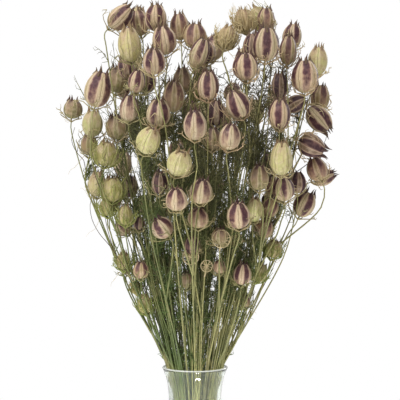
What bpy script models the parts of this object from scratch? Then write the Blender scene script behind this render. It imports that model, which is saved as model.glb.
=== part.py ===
"""A bunch of dried love-in-a-mist (nigella) seed pods on branched stems, in a waisted glass vase.

The vase stands on z = 0 with its axis on Z. Each cut plant, with its forks, pods and bracts, is one
closed solid, and no plant touches another or the glass.
"""

import math

import bmesh
import bpy
import numpy as np
from mathutils import Matrix, Vector

MM = 0.001  # sizes here are in millimetres, and meshes are in metres

# The vase: outside radius at each height, from the foot up to the lip
VASE_OUTSIDE = ((0, 38), (2, 41), (20, 45), (48, 46), (80, 41), (108, 31), (130, 24), (150, 21.3),
                (178, 21), (190, 22.8), (200, 26.2))
VASE_WALL = 2.6
VASE_FLOOR = 9.0
VASE_SIDES = 26
LIP_HEIGHT = 200.0

# The bunch: its radius at each height, and the sight line that the heads' places are given on
BUNCH_HEIGHTS = (235, 250, 275, 300, 325, 345, 375, 405, 430, 445, 465, 480)
BUNCH_RADII = (42, 48, 60, 70, 84, 92, 97, 102, 104, 102, 92, 76)
EYE_DISTANCE = 900.0
EYE_HEIGHT = 333.0
LEAST_DEPTH = 8.0

# The heads that the front shows. Each row has how far right of the axis and how high the head's
# middle shows, its depth from 1 at the front of the bunch to 0 at the axis, its width and length,
# its lean to the right in degrees, and its look.
HEADS = (
    (-59, 479, 0.30, 18, 24, 45, "striped"),
    (-52, 458, 0.80, 19, 29, -5, "pale"),
    (-45, 475, 0.00, 16, 21, -10, "beige"),
    (-31, 479, 0.40, 18, 22, 0, "striped"),
    (-25, 461, 0.60, 20, 24, -8, "striped"),
    (-12, 472, 0.20, 16, 22, -5, "beige"),
    (-33, 444, 0.90, 19, 22, 0, "striped"),
    (0, 464, 0.30, 19, 21, 0, "beige"),
    (4, 451, 0.70, 16, 25, 20, "tipped"),
    (-77, 422, 0.70, 22, 30, 14, "striped"),
    (-62, 430, 0.10, 18, 21, 5, "olive"),
    (-46, 428, 0.80, 14, 19, 10, "tipped"),
    (-55, 438, 0.20, 14, 18, -15, "dark"),
    (-98, 406, 0.00, 16, 16, 5, "olive"),
    (-82, 394, 0.40, 17, 22, 3, "pale"),
    (-63, 391, 0.30, 18, 20, -3, "olive"),
    (-52, 407, 0.70, 16, 22, 3, "tipped"),
    (-29, 403, 0.80, 20, 23, 3, "striped"),
    (-17, 416, 0.60, 18, 26, 3, "beige"),
    (-10, 429, 0.20, 16, 21, 0, "olive"),
    (11, 425, 0.75, 18, 24, 0, "striped"),
    (0, 393, 0.95, 19, 25, 0, "tipped"),
    (-36, 381, 0.90, 20, 23, 22, "pale"),
    (-12, 363, 0.95, 21, 22, 18, "pale"),
    (-71, 370, 0.60, 20, 20, 10, "leafy"),
    (-85, 378, 0.20, 14, 18, 0, "olive"),
    (17, 403, 0.30, 16, 21, 0, "dark"),
    (26, 463, 0.20, 16, 19, 15, "fuzzy"),
    (39, 477, 0.20, 15, 19, -10, "fuzzy"),
    (57, 478, 0.10, 15, 18, 0, "beige"),
    (57, 458, 0.75, 22, 28, 2, "striped"),
    (46, 456, 0.30, 16, 22, 0, "dark"),
    (78, 464, 0.15, 16, 21, 8, "striped"),
    (74, 451, 0.40, 14, 24, 3, "beige"),
    (41, 440, 0.75, 21, 23, -3, "striped"),
    (87, 432, 0.60, 22, 27, 0, "striped"),
    (98, 444, 0.10, 16, 24, 5, "pale"),
    (34, 410, 0.80, 20, 24, -22, "striped"),
    (68, 402, 0.80, 18, 25, 0, "striped"),
    (99, 399, 0.50, 19, 25, 140, "striped"),
    (101, 415, 0.10, 16, 22, 5, "beige"),
    (93, 375, 0.50, 19, 23, 115, "dark"),
    (28, 384, 0.90, 18, 22, 8, "tipped"),
    (68, 366, 0.85, 18, 28, 0, "pale"),
    (69, 425, 0.30, 14, 22, 0, "dark"),
    (81, 410, 0.20, 14, 18, 60, "dark"),
    (98, 358, 0.30, 17, 20, -20, "beige"),
    (14, 382, 0.50, 16, 18, 0, "olive"),
    (-28, 347, 0.60, 14, 19, 0, "dark"),
    (-14, 334, 1.00, 18, 19, 0, "tipped"),
    (5, 340, 0.95, 19, 21, 8, "tipped"),
    (3, 319, 0.85, 17, 17, 0, "beige"),
    (-26, 311, 0.80, 18, 18, -35, "tipped"),
    (-2, 297, 0.70, 14, 15, 0, "dark"),
    (-78, 346, 0.30, 15, 21, 3, "pale"),
    (-66, 341, 0.50, 18, 20, 0, "leafy"),
    (-70, 328, 0.40, 14, 14, 0, "leafy"),
    (-55, 321, 0.50, 12, 16, 0, "leafy"),
    (-43, 277, 0.80, 13, 14, 0, "beige"),
    (-57, 284, 0.50, 12, 14, 0, "leafy"),
    (-40, 250, 0.60, 12, 16, -10, "leafy"),
    (-7, 269, 0.60, 9, 14, 0, "olive"),
    (-45, 314, 0.40, 10, 10, 0, "dark"),
    (20, 304, 0.85, 14, 14, 0, "olive"),
    (20, 280, 0.70, 11, 12, 0, "tipped"),
    (35, 321, 1.00, 19, 22, -3, "striped"),
    (49, 325, 0.70, 14, 20, 5, "pale"),
    (60, 327, 0.40, 14, 17, 25, "beige"),
    (55, 312, 0.60, 16, 15, 30, "beige"),
    (71, 342, 0.70, 18, 20, -5, "tipped"),
    (88, 330, 0.50, 18, 22, 25, "striped"),
    (104, 352, 0.15, 14, 18, 70, "tipped"),
    (82, 347, 0.20, 14, 18, 0, "dark"),
    (63, 294, 0.40, 14, 15, 15, "leafy"),
    (38, 274, 0.80, 15, 18, 5, "striped"),
    (52, 275, 0.50, 12, 16, 25, "leafy"),
    (41, 252, 0.60, 7, 10, 0, "olive"),
    (52, 351, 0.70, 16, 21, 0, "olive"),
    (32, 303, 0.50, 10, 10, 0, "olive"),
    (62, 344, 0.30, 11, 16, 0, "beige"),
)

# The heads behind: the outer ones in front and some of the others, turned half round the axis
BACK_FROM_DEPTH = 0.58
MIDDLE_STEP = 3
BACK_REACH = 78.0
BACK_STEP = 9.0
BACK_SIZE = 0.96
SEED = 11

# Room kept round the heads and stems, and the rounds that spread them
HEAD_ROOM = 3.6
STEM_ROOM = 1.5
GLASS_ROOM = 1.3
SPREAD_ROUNDS = 240
ROUTE_ROUNDS = 320

# The plants: how many, where their stems fan out, and how their forks leave
PLANTS = 44
LABEL_ROUNDS = 14
NECK_HEIGHT = 197.0
NECK_SPREAD = 15.5
FAN_SLOPE = 0.40
FOOT_SPREAD = 24.0
LEVELS = np.array([VASE_FLOOR + 1.0, 55, 100, 130, 150, 164, 178, 188, NECK_HEIGHT, *range(207, 490, 10)],
                  float)
LOWEST_FORK = 206.0
FORK_REACH = 42.0
FORK_SPREAD = 1.9
NECK_TAIL = 7.0  # straight stem under a head, before it bends to its route

STEM_SIDES = 3
MAIN_RADII = (1.25, 0.90)  # at the foot and under the head
FORK_RADII = (0.95, 0.75)
FORK_ROOT_RADIUS = 0.4  # where a fork starts inside its main stem
SHARP_TURN = 35.0
CORNER_CUT = 4.0
STRAIGHT_WITHIN = 0.6  # a route's point nearer than this to its chord is left out

# A pod's rings from its crown down: share of its length, and share of its radius
POD_RINGS = ((0.93, 0.36), (0.77, 0.80), (0.46, 1.0), (0.12, 0.68))
BUD_RINGS = ((0.92, 0.42), (0.54, 1.0), (0.14, 0.72))
CROWN_FLOOR = 0.86
POD_MERIDIANS = 10  # five ribs and the five seams between them
SEAM_DEPTH = 0.07
HORN_HEIGHT = 0.22
HORN_FLARE = 1.35
BUD_WIDTH = 18.4  # a head narrower than this has the shorter list of rings

BRACT_THICK = 0.55
BRACT_CLEAR = 1.4
COLLAR = 1.8  # height of the ring under the head that the bracts grow from
LEAFY = ("leafy", "fuzzy")
LARGE_WIDTH = 18.0
LARGE_BRACTS = 3
SMALL_BRACTS = 2
LEAFY_BRACTS = 4
BACK_BRACTS = 1

# Thread-like leaves on the stems: how many, and the place and size of each
LEAVES = 44
LEAVES_EACH = 2
LEAF_TRIES = 5
LEAF_HEIGHTS = (214.0, 345.0)
LEAF_LENGTHS = (12.0, 24.0)
LEAF_RADIUS = 0.45
LEAF_ROOT_RADIUS = 0.2
LEAF_ROOM = 0.9

COLOURS = {"glass": (0.80, 0.88, 0.84), "striped": (0.50, 0.38, 0.36), "pale": (0.70, 0.67, 0.46),
           "green": (0.42, 0.46, 0.24)}


def unit(vector):
    vector = np.asarray(vector, float)
    return vector / np.linalg.norm(vector)


class Head:
    """One seed head: its middle, the way that its tip points, its size and its look."""

    def __init__(self, middle, axis, width, length, look):
        self.middle = np.array(middle, float)
        self.axis = unit(axis)
        self.width = width
        self.length = length
        self.look = look
        self.bracts = LEAFY_BRACTS if look in LEAFY else LARGE_BRACTS if width >= LARGE_WIDTH else SMALL_BRACTS

    @property
    def base(self):
        return self.middle - self.axis * self.length / 2

    @property
    def tail(self):
        return self.base - self.axis * NECK_TAIL

    def balls(self):
        """Balls that fill the head and its tail, as (offset along the axis, radius)."""
        radius = self.width / 2
        reach = max(self.length / 2 - radius, 0)
        return ((-reach, radius), (0, radius), (reach, radius), (self.length / 2 + 1.5, radius * 0.45),
                (-self.length / 2 - NECK_TAIL * 0.6, 0.5))


def front_heads():
    """The heads in HEADS, each moved along its line of sight to its depth."""
    heads = []
    for x, z, depth, width, length, lean, look in HEADS:
        radius = np.interp(z, BUNCH_HEIGHTS, BUNCH_RADII)
        y = -depth * math.sqrt(max(radius**2 - x**2, LEAST_DEPTH**2))
        near = (EYE_DISTANCE + y) / EYE_DISTANCE
        middle = (x * near, y, EYE_HEIGHT + (z - EYE_HEIGHT) * near)
        tilt = math.radians(lean)
        heads.append(Head(middle, (math.sin(tilt), 0.004 * y, math.cos(tilt)), width * near,
                          length * near, look))
    return heads


def back_heads(front):
    """The outer front heads turned half round, with the looks of other heads."""
    draw = np.random.default_rng(SEED)
    inner = [(head, row[2]) for head, row in zip(front, HEADS) if abs(row[0]) < BACK_REACH]
    chosen = [head for head, depth in inner if depth >= BACK_FROM_DEPTH]
    chosen += [head for head, depth in inner if 0.2 <= depth < BACK_FROM_DEPTH][::MIDDLE_STEP]
    heads = []
    for number, head in enumerate(chosen):
        step = draw.uniform(-BACK_STEP, BACK_STEP, 3)
        middle = head.middle * (-1, -1, 1) + step
        axis = head.axis * (-1, -1, 1) + draw.uniform(-0.15, 0.15, 3)
        look = chosen[(number + 5) % len(chosen)].look
        heads.append(Head(middle, axis, head.width * BACK_SIZE, head.length * BACK_SIZE, look))
        heads[-1].bracts = BACK_BRACTS
    return heads


def spread_heads(heads):
    """Moves the heads apart, mostly along the line of sight, until none is in another's room."""
    count = len(heads)
    for _ in range(SPREAD_ROUNDS):
        spots = np.array([[h.middle + h.axis * along for along, _ in h.balls()] for h in heads])
        radii = np.array([[radius for _, radius in h.balls()] for h in heads])
        balls = spots.shape[1]
        spots, radii = spots.reshape(-1, 3), radii.reshape(-1)
        owner = np.repeat(np.arange(count), balls)
        apart = spots[:, None] - spots[None]
        need = radii[:, None] + radii[None] + HEAD_ROOM
        short = need - np.linalg.norm(apart, axis=2)
        short[owner[:, None] == owner[None]] = 0
        moves = np.zeros((count, 3))
        for i, j in zip(*np.nonzero(short > 0)):
            across = apart[i, j] * (1, 0, 1)
            side = 1.0 if apart[i, j, 1] >= 0 else -1.0
            deep = math.sqrt(max(need[i, j] ** 2 - across @ across, 0)) - abs(apart[i, j, 1])
            push = np.array([0, side * deep, 0]) + 0.25 * short[i, j] * across / need[i, j]
            moves[owner[i]] += 0.12 * push
        longest = np.abs(moves).max()
        if longest < 0.01:
            break
        moves *= min(1.0, 3.0 / longest)
        for head, move in zip(heads, moves):
            head.middle = head.middle + move
    return heads


def fan_radius(z):
    """Radius of the fan of stems at a height."""
    fanned = NECK_SPREAD + FAN_SLOPE * (z - NECK_HEIGHT)
    held = np.interp(z, (LEVELS[0], 140, NECK_HEIGHT), (FOOT_SPREAD, NECK_SPREAD - 1, NECK_SPREAD))
    return np.where(z > NECK_HEIGHT, fanned, held)


def inner_radius(z):
    """Radius of the room inside the vase at a height."""
    heights, radii = zip(*VASE_OUTSIDE)
    return np.interp(z, heights, radii) - VASE_WALL


def share_out(heads):
    """Gives each head to one of the plants: those whose stems would run side by side go together."""
    labels = np.array([h.base[:2] / fan_radius(h.base[2]) for h in heads])
    turn = math.pi * (3 - math.sqrt(5))
    numbers = np.arange(PLANTS)
    radii = np.sqrt((numbers + 0.5) / PLANTS)
    centres = np.stack([radii * np.cos(turn * numbers), radii * np.sin(turn * numbers)], axis=1)
    for _ in range(LABEL_ROUNDS):
        nearest = np.linalg.norm(labels[:, None] - centres[None], axis=2).argmin(axis=1)
        for k in range(PLANTS):
            if (nearest == k).any():
                centres[k] = labels[nearest == k].mean(axis=0)
    used = [k for k in range(PLANTS) if (nearest == k).any()]
    plants = [[heads[i] for i in np.nonzero(nearest == k)[0]] for k in used]
    for plant in plants:
        plant.sort(key=lambda h: -h.tail[2])
    order = sorted(range(len(plants)), key=lambda p: (plants[p][0].middle[0], plants[p][0].middle[1]))
    return [plants[p] for p in order], [centres[used[p]] for p in order]


class Route:
    """The way of one head's stem: its place at each level, and the level where it leaves its plant."""

    def __init__(self, plant, head, main, label):
        self.plant = plant
        self.head = head
        self.main = main
        self.top = int(np.searchsorted(LEVELS, head.tail[2] - 5)) - 1
        heights = LEVELS[: self.top + 1]
        stem = label * fan_radius(heights)[:, None] if main is None else main.points[: self.top + 1]
        if main is None:
            fork_height = NECK_HEIGHT
            self.fork = 0
        else:
            sideways = np.linalg.norm(head.tail[:2] - stem[-1])
            reach = max(FORK_REACH, FORK_SPREAD * sideways)
            fork_height = max(LOWEST_FORK, head.tail[2] - reach)
            self.fork = min(int(np.searchsorted(LEVELS, fork_height)), self.top)
        share = np.clip((heights - fork_height) / (head.tail[2] - fork_height), 0, 1)[:, None]
        self.points = stem * (1 - share) + head.tail[:2] * share

    def radii(self):
        """The stem's radius at each level."""
        thick, thin = MAIN_RADII if self.main is None else FORK_RADII
        return np.interp(LEVELS[: self.top + 1], (LEVELS[self.fork], self.head.tail[2]), (thick, thin))


def head_discs(heads, z):
    """The heads cut at a height: (centres, radii, owners)."""
    centres, radii, owners = [], [], []
    for number, head in enumerate(heads):
        for along, radius in head.balls():
            spot = head.middle + head.axis * along
            reach = radius + BRACT_CLEAR + BRACT_THICK
            if abs(spot[2] - z) < reach:
                centres.append(spot[:2])
                radii.append(math.sqrt(reach**2 - (spot[2] - z) ** 2))
                owners.append(number)
    return np.array(centres).reshape(-1, 2), np.array(radii), np.array(owners, int)


def run_routes(plants, labels):
    """Finds a route for each head's stem that keeps clear of every other plant and every head."""
    routes = []
    for number, plant in enumerate(plants):
        main = Route(number, plant[0], None, labels[number])
        routes.append(main)
        routes += [Route(number, head, main, labels[number]) for head in plant[1:]]
    heads = [route.head for route in routes]
    discs = [head_discs(heads, z) for z in LEVELS]
    radii = [route.radii() for route in routes]
    for turn in range(ROUTE_ROUNDS):
        settle = turn > ROUTE_ROUNDS * 0.9
        for level, z in enumerate(LEVELS):
            here = [i for i, r in enumerate(routes) if r.fork <= level <= r.top]
            if not here:
                continue
            spots = np.array([routes[i].points[level] for i in here])
            thick = np.array([radii[i][level] for i in here])
            plant = np.array([routes[i].plant for i in here])
            forks = np.array([routes[i].fork for i in here])
            apart = spots[:, None] - spots[None]
            gaps = np.linalg.norm(apart, axis=2) + 1e-9
            short = thick[:, None] + thick[None] + STEM_ROOM - gaps
            joined = np.maximum(forks[:, None], forks[None]) >= level
            short[(plant[:, None] == plant[None]) & joined] = 0
            np.fill_diagonal(short, 0)
            moves = (np.maximum(short, 0)[:, :, None] * apart / gaps[:, :, None]).sum(axis=1) * 0.5
            centres, sizes, owners = discs[level]
            if len(centres):
                apart = spots[:, None] - centres[None]
                gaps = np.linalg.norm(apart, axis=2) + 1e-9
                short = sizes[None] + thick[:, None] + 0.7 * STEM_ROOM - gaps
                short[np.array(here)[:, None] == owners[None]] = 0
                moves += (np.maximum(short, 0)[:, :, None] * apart / gaps[:, :, None]).sum(axis=1) * 0.7
            spots = spots + moves
            if z <= LIP_HEIGHT:
                most = inner_radius(z) - thick - GLASS_ROOM
                away = np.linalg.norm(spots, axis=1)
                spots *= np.minimum(1, most / np.maximum(away, 1e-9))[:, None]
            for i, spot in zip(here, spots):
                routes[i].points[level] = spot
        for route in routes:
            if route.main is not None:
                route.points[: route.fork] = route.main.points[: route.fork]
            if not settle:
                padded = np.vstack([route.points, route.head.tail[:2]])
                middle = (padded[:-2] + padded[2:]) / 2
                route.points[1:] += 0.30 * (middle - route.points[1:])
    return routes


def straightened(points, within):
    """The points of a line without those that lie within this distance of the chords left."""
    if len(points) < 3:
        return points
    first, last = points[0], points[-1]
    along = unit(last - first)
    offsets = points - first
    away = np.linalg.norm(offsets - np.outer(offsets @ along, along), axis=1)
    furthest = int(away.argmax())
    if away[furthest] < within:
        return np.array([first, last])
    return np.vstack([straightened(points[: furthest + 1], within)[:-1],
                      straightened(points[furthest:], within)])


def stem_line(route):
    """The stem's centre line: from the foot, or the fork on the main stem, into the head's base."""
    start = max(route.fork - 1, 0)
    levels = LEVELS[start : route.top + 1]
    rising = np.column_stack([route.points[start:], levels])
    if route.main is not None:
        rising[0] = point_at(stem_line(route.main), levels[0])
    head = route.head
    rising = straightened(rising, STRAIGHT_WITHIN)
    collar = head.base - head.axis * COLLAR
    return np.vstack([rising, rounded_corner(rising[-1], head.tail, collar), collar, head.base])


def rounded_corner(before, corner, after):
    """The corner itself, or two points that cut it off where the stem turns sharply."""
    cosine = unit(corner - before) @ unit(after - corner)
    if cosine > math.cos(math.radians(SHARP_TURN)):
        return corner[None]
    low = corner + unit(before - corner) * min(CORNER_CUT, np.linalg.norm(before - corner) / 2)
    high = corner + (after - corner) * 0.3
    return np.array([low, high])


def new_object(name, bm, collection):
    """A mesh object in metres from a bmesh in millimetres."""
    bmesh.ops.recalc_face_normals(bm, faces=bm.faces)
    bmesh.ops.scale(bm, vec=(MM, MM, MM), verts=bm.verts)
    mesh = bpy.data.meshes.new(name)
    bm.to_mesh(mesh)
    bm.free()
    made = bpy.data.objects.new(name, mesh)
    collection.objects.link(made)
    return made


def point_at(line, z):
    """The point of a stem's line at a height, where it still rises."""
    rising = line[: 1 + int(line[:, 2].argmax())]
    return np.array([np.interp(z, rising[:, 2], rising[:, k]) for k in range(3)])


def rings_along(bm, points, radii, sides):
    """Rings of vertices round a line of points, joined by flat sides and closed at the first."""
    points = [Vector(p) for p in points]
    rings = []
    across = (points[1] - points[0]).orthogonal().normalized()
    for number, point in enumerate(points):
        before = points[max(number - 1, 0)]
        after = points[min(number + 1, len(points) - 1)]
        along = (after - before).normalized()
        across = (across - along * across.dot(along)).normalized()
        over = along.cross(across)
        ring = []
        for side in range(sides):
            turn = 2 * math.pi * side / sides
            spoke = across * math.cos(turn) + over * math.sin(turn)
            ring.append(bm.verts.new(point + spoke * radii[number]))
        rings.append(ring)
    bm.faces.new(rings[0][::-1])
    return rings


def head_turn(head):
    """The turn and move that take an upright head at the origin to its place."""
    turn = Vector((0, 0, 1)).rotation_difference(Vector(head.axis)).to_matrix().to_4x4()
    return Matrix.Translation(Vector(head.base)) @ turn


def pod_rings(bm, head):
    """The capsule's rings from its base to its crown: five ribs, five seams, and a horn on each rib."""
    turn = head_turn(head)
    rings = []
    for number, (height, radius) in enumerate(BUD_RINGS if head.width < BUD_WIDTH else POD_RINGS):
        ring = []
        for meridian in range(POD_MERIDIANS):
            on_rib = meridian % 2 == 0
            across = radius * head.width / 2 * (1 if on_rib else 1 - SEAM_DEPTH)
            up = height
            if number == 0 and on_rib:
                across *= HORN_FLARE
                up += HORN_HEIGHT
            angle = 2 * math.pi * meridian / POD_MERIDIANS
            spot = Vector((across * math.cos(angle), across * math.sin(angle), up * head.length))
            ring.append(bm.verts.new(turn @ spot))
        rings.append(ring)
    pole = bm.verts.new(turn @ Vector((0, 0, CROWN_FLOOR * head.length)))
    for side in range(POD_MERIDIANS):
        bm.faces.new((rings[0][side], rings[0][(side + 1) % POD_MERIDIANS], pole))
    return rings[::-1]


def ring_edges(bm, ring):
    """The edges round a ring, made if they are not there."""
    edges = []
    for first, second in zip(ring, ring[1:] + ring[:1]):
        edges.append(bm.edges.get((first, second)) or bm.edges.new((first, second)))
    return edges


def joined_sides(bm, low, high):
    """Flat sides between two rings with as many vertices each, as a list."""
    after = low[1:] + low[:1]
    above = high[1:] + high[:1]
    return [bm.faces.new((a, b, d, c)) for a, b, c, d in zip(low, after, high, above)]


def grow_bract(bm, head, side, swing):
    """Draws one side of the neck out into a thread-like leaf that bends up round the head."""
    turn = head_turn(head)
    radius = head.width / 2
    outward = turn.inverted() @ side.calc_center_median()
    outward = Matrix.Rotation(swing, 3, "Z") @ Vector((outward.x, outward.y, 0)).normalized()
    elbow = turn @ (outward * (radius * 0.72 + BRACT_CLEAR) + Vector((0, 0, head.length * 0.06)))
    tip = turn @ (outward * (radius + BRACT_CLEAR) + Vector((0, 0, head.length * 0.48)))
    for spot in (elbow, tip):
        side = bmesh.ops.extrude_discrete_faces(bm, faces=[side])["faces"][0]
        middle = side.calc_center_median()
        reach = max((v.co - middle).length for v in side.verts)
        bmesh.ops.translate(bm, vec=spot - middle, verts=side.verts)
        for v in side.verts:
            v.co = spot + (v.co - spot) * min(1, BRACT_THICK / reach)
    bmesh.ops.pointmerge(bm, verts=side.verts, merge_co=tip)


def headed_stem(route, name, collection):
    """One stem or fork with its bracts and its pod, as one closed body."""
    head = route.head
    line = stem_line(route)
    thick, thin = MAIN_RADII if route.main is None else FORK_RADII
    radii = np.interp(line[:, 2], (line[0][2], head.tail[2]), (thick, thin))
    if route.main is not None:
        radii[0] = FORK_ROOT_RADIUS
    bm = bmesh.new()
    rings = rings_along(bm, line, radii, STEM_SIDES)
    sides = [joined_sides(bm, low, high) for low, high in zip(rings, rings[1:])]
    pod = pod_rings(bm, head)
    for low, high in zip(pod, pod[1:]):
        joined_sides(bm, low, high)
    bmesh.ops.bridge_loops(bm, edges=ring_edges(bm, rings[-1]) + ring_edges(bm, pod[0]))
    bmesh.ops.recalc_face_normals(bm, faces=bm.faces)
    for number, side in enumerate((sides[-1] + sides[-2])[: head.bracts]):
        grow_bract(bm, head, side, 0 if number < STEM_SIDES else math.pi / STEM_SIDES)
    return new_object(name, bm, collection)


def leaf_lines(routes):
    """Thread-like leaves on the stems, as (route, points), that keep clear of all but their own stem."""
    draw = np.random.default_rng(SEED + 4)
    lines = [stem_line(route) for route in routes]
    starts = np.vstack([line[:-1] for line in lines])
    ends = np.vstack([line[1:] for line in lines])
    owners = np.concatenate([[number] * (len(line) - 1) for number, line in enumerate(lines)])
    thick = np.full(len(starts), MAIN_RADII[0])
    balls = [(route.head.middle + route.head.axis * along, radius + BRACT_CLEAR + BRACT_THICK)
             for route in routes for along, radius in route.head.balls()]
    leaves = []
    for number in np.tile(draw.permutation(len(routes)), LEAF_TRIES):
        line = lines[number]
        z = draw.uniform(*LEAF_HEIGHTS)
        length = draw.uniform(*LEAF_LENGTHS)
        turn = draw.uniform(0, 2 * math.pi)
        grown = sum(route.plant == routes[number].plant for route, _ in leaves)
        if not line[0][2] + 3 < z < min(line[-3:, 2]) - 8 or len(leaves) == LEAVES or grown == LEAVES_EACH:
            continue
        root = point_at(line, z)
        out = np.array([math.cos(turn), math.sin(turn), 0])
        knee = root + (0.30 * out + np.array([0, 0, 0.42])) * length
        tip = root + (0.42 * out + np.array([0, 0, 1.0])) * length
        spots = np.vstack([np.linspace(root, knee, 6), np.linspace(knee, tip, 8)])
        other = owners != number
        away = np.stack([gap_to_lines(spot, starts[other], ends[other]) for spot in spots])
        clear = (away > thick[other] + LEAF_ROOM).all()
        clear &= all(np.linalg.norm(spots - middle, axis=1).min() > reach + LEAF_ROOM
                     for middle, reach in balls)
        if clear:
            leaves.append((routes[number], np.array([root, knee, tip])))
            starts = np.vstack([starts, root, knee])
            ends = np.vstack([ends, knee, tip])
            owners = np.append(owners, [-1, -1])
            thick = np.append(thick, [LEAF_RADIUS] * 2)
    return leaves


def gap_to_lines(spot, starts, ends):
    """Distance from a point to each of many straight pieces."""
    along = ends - starts
    share = ((spot - starts) * along).sum(axis=1) / np.maximum((along**2).sum(axis=1), 1e-9)
    nearest = starts + along * np.clip(share, 0, 1)[:, None]
    return np.linalg.norm(spot - nearest, axis=1)


def leaf(points, collection):
    """A three-sided thread that tapers to a point."""
    bm = bmesh.new()
    rings = rings_along(bm, points, (LEAF_ROOT_RADIUS, LEAF_RADIUS, LEAF_RADIUS), STEM_SIDES)
    for low, high in zip(rings, rings[1:]):
        joined_sides(bm, low, high)
    bmesh.ops.pointmerge(bm, verts=rings[-1], merge_co=Vector(points[-1]))
    return new_object("leaf", bm, collection)


def fused(base, others):
    """Joins the objects of a collection to the base with one Boolean union, and removes them."""
    union = base.modifiers.new("union", "BOOLEAN")
    union.operation = "UNION"
    union.operand_type = "COLLECTION"
    union.collection = others
    union.solver = "EXACT"
    whole = bpy.data.meshes.new_from_object(base.evaluated_get(bpy.context.evaluated_depsgraph_get()))
    base.modifiers.remove(union)
    base.data = whole
    for other in list(others.objects):
        bpy.data.objects.remove(other)
    bpy.data.collections.remove(others)
    return base


def plant_object(name, routes, leaves):
    """One cut plant: its main stem, forks, pods, bracts and leaves as one solid."""
    scene = bpy.context.scene.collection
    base = headed_stem(routes[0], name, scene)
    if len(routes) + len(leaves) == 1:
        return base
    repeats = bpy.data.collections.new(name + "_repeats")
    scene.children.link(repeats)
    for route in routes[1:]:
        headed_stem(route, "fork", repeats)
    for points in leaves:
        leaf(points, repeats)
    return fused(base, repeats)


def vase_object():
    """The vase, turned from one line: up its outside, over the lip and down its inside."""
    heights, radii = zip(*VASE_OUTSIDE)
    inside = [(z, r - VASE_WALL) for z, r in VASE_OUTSIDE if z > VASE_FLOOR][::-1]
    floor_radius = float(np.interp(VASE_FLOOR, heights, radii)) - VASE_WALL - 3
    inside += [(VASE_FLOOR, floor_radius), (VASE_FLOOR, 0)]
    profile = [(0, 0), *VASE_OUTSIDE, *inside]
    bm = bmesh.new()
    points = [bm.verts.new((radius, 0, height)) for height, radius in profile]
    edges = [bm.edges.new(pair) for pair in zip(points, points[1:])]
    bmesh.ops.spin(bm, geom=points + edges, cent=(0, 0, 0), axis=(0, 0, 1), dvec=(0, 0, 0),
                   angle=2 * math.pi, steps=VASE_SIDES, use_merge=True)
    bmesh.ops.remove_doubles(bm, verts=bm.verts, dist=0.001)
    return new_object("vase", bm, bpy.context.scene.collection)


def finish(name, colour, roughness):
    """A plain material in one colour."""
    material = bpy.data.materials.new(name)
    material.use_nodes = True
    shader = material.node_tree.nodes["Principled BSDF"]
    shader.inputs["Base Color"].default_value = (*colour, 1)
    shader.inputs["Roughness"].default_value = roughness
    shader.inputs["Metallic"].default_value = 0
    return material


def main():
    for old in list(bpy.data.objects):
        bpy.data.objects.remove(old)
    front = front_heads()
    heads = spread_heads(front + back_heads(front))
    plants, labels = share_out(heads)
    routes = run_routes(plants, labels)
    leaves = leaf_lines(routes)
    print(len(heads), "heads on", len(plants), "plants, with", len(leaves), "leaves on the stems")
    glass = finish("glass", COLOURS["glass"], 0.05)
    dry = {name: finish(name + "_plant", COLOURS[name], 0.8) for name in ("striped", "pale", "green")}
    vase_object().data.materials.append(glass)
    for number in range(len(plants)):
        mine = [route for route in routes if route.plant == number]
        grown = [points for route, points in leaves if route.plant == number]
        made = plant_object(f"stem_{number + 1:02d}", mine, grown)
        look = mine[0].head.look
        name = "striped" if look in ("striped", "tipped", "dark") else "green" if look in LEAFY else "pale"
        made.data.materials.clear()
        made.data.materials.append(dry[name])


main()
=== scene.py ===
# %% [markdown]
# # A bunch of dried love-in-a-mist in a glass vase
#
# Dried nigella is grown for its seed pods: papery balloons striped in plum and straw, each with five
# horns, on thin forked stems among thread-like leaves. This notebook dresses a plain solid model of
# such a bunch. Each cut plant and the vase is a node of that model, and a finer piece is made here in
# the place of each.

# %% Load the solid model
import math

import bmesh
import bpy
import numpy as np
from mathutils import Matrix, Vector


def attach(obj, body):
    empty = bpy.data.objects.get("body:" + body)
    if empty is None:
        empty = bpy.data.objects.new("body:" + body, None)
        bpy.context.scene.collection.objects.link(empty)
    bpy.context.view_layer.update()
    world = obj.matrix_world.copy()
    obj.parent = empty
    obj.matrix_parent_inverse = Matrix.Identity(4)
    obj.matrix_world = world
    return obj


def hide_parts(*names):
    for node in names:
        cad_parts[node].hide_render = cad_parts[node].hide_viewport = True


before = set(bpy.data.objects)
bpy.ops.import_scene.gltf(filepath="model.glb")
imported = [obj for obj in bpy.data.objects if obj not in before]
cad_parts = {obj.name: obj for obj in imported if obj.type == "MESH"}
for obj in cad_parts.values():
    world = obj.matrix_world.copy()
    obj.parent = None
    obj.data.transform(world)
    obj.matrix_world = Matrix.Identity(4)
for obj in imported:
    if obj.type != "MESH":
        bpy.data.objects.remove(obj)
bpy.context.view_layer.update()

MM = 0.001


def placed(name, data):
    """A new object in the scene, made of this data."""
    made = bpy.data.objects.new(name, data)
    bpy.context.scene.collection.objects.link(made)
    return made


def mesh_from(bm, name):
    """The mesh of a finished edit mesh."""
    mesh = bpy.data.meshes.new(name)
    bm.to_mesh(mesh)
    bm.free()
    return mesh


# %% [markdown]
# ## The camera
#
# The photograph looks level at the bunch from a little under a metre away, and its lower edge cuts
# the vase just under the lip. A long lens at that distance gives the same mild perspective.

# %% Camera
EYE_ACROSS = 4.0
EYE_DISTANCE = 900.0
EYE_HEIGHT = 333.0
FIELD_WIDTH = 320.0
FILM_WIDTH = 36.0

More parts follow.
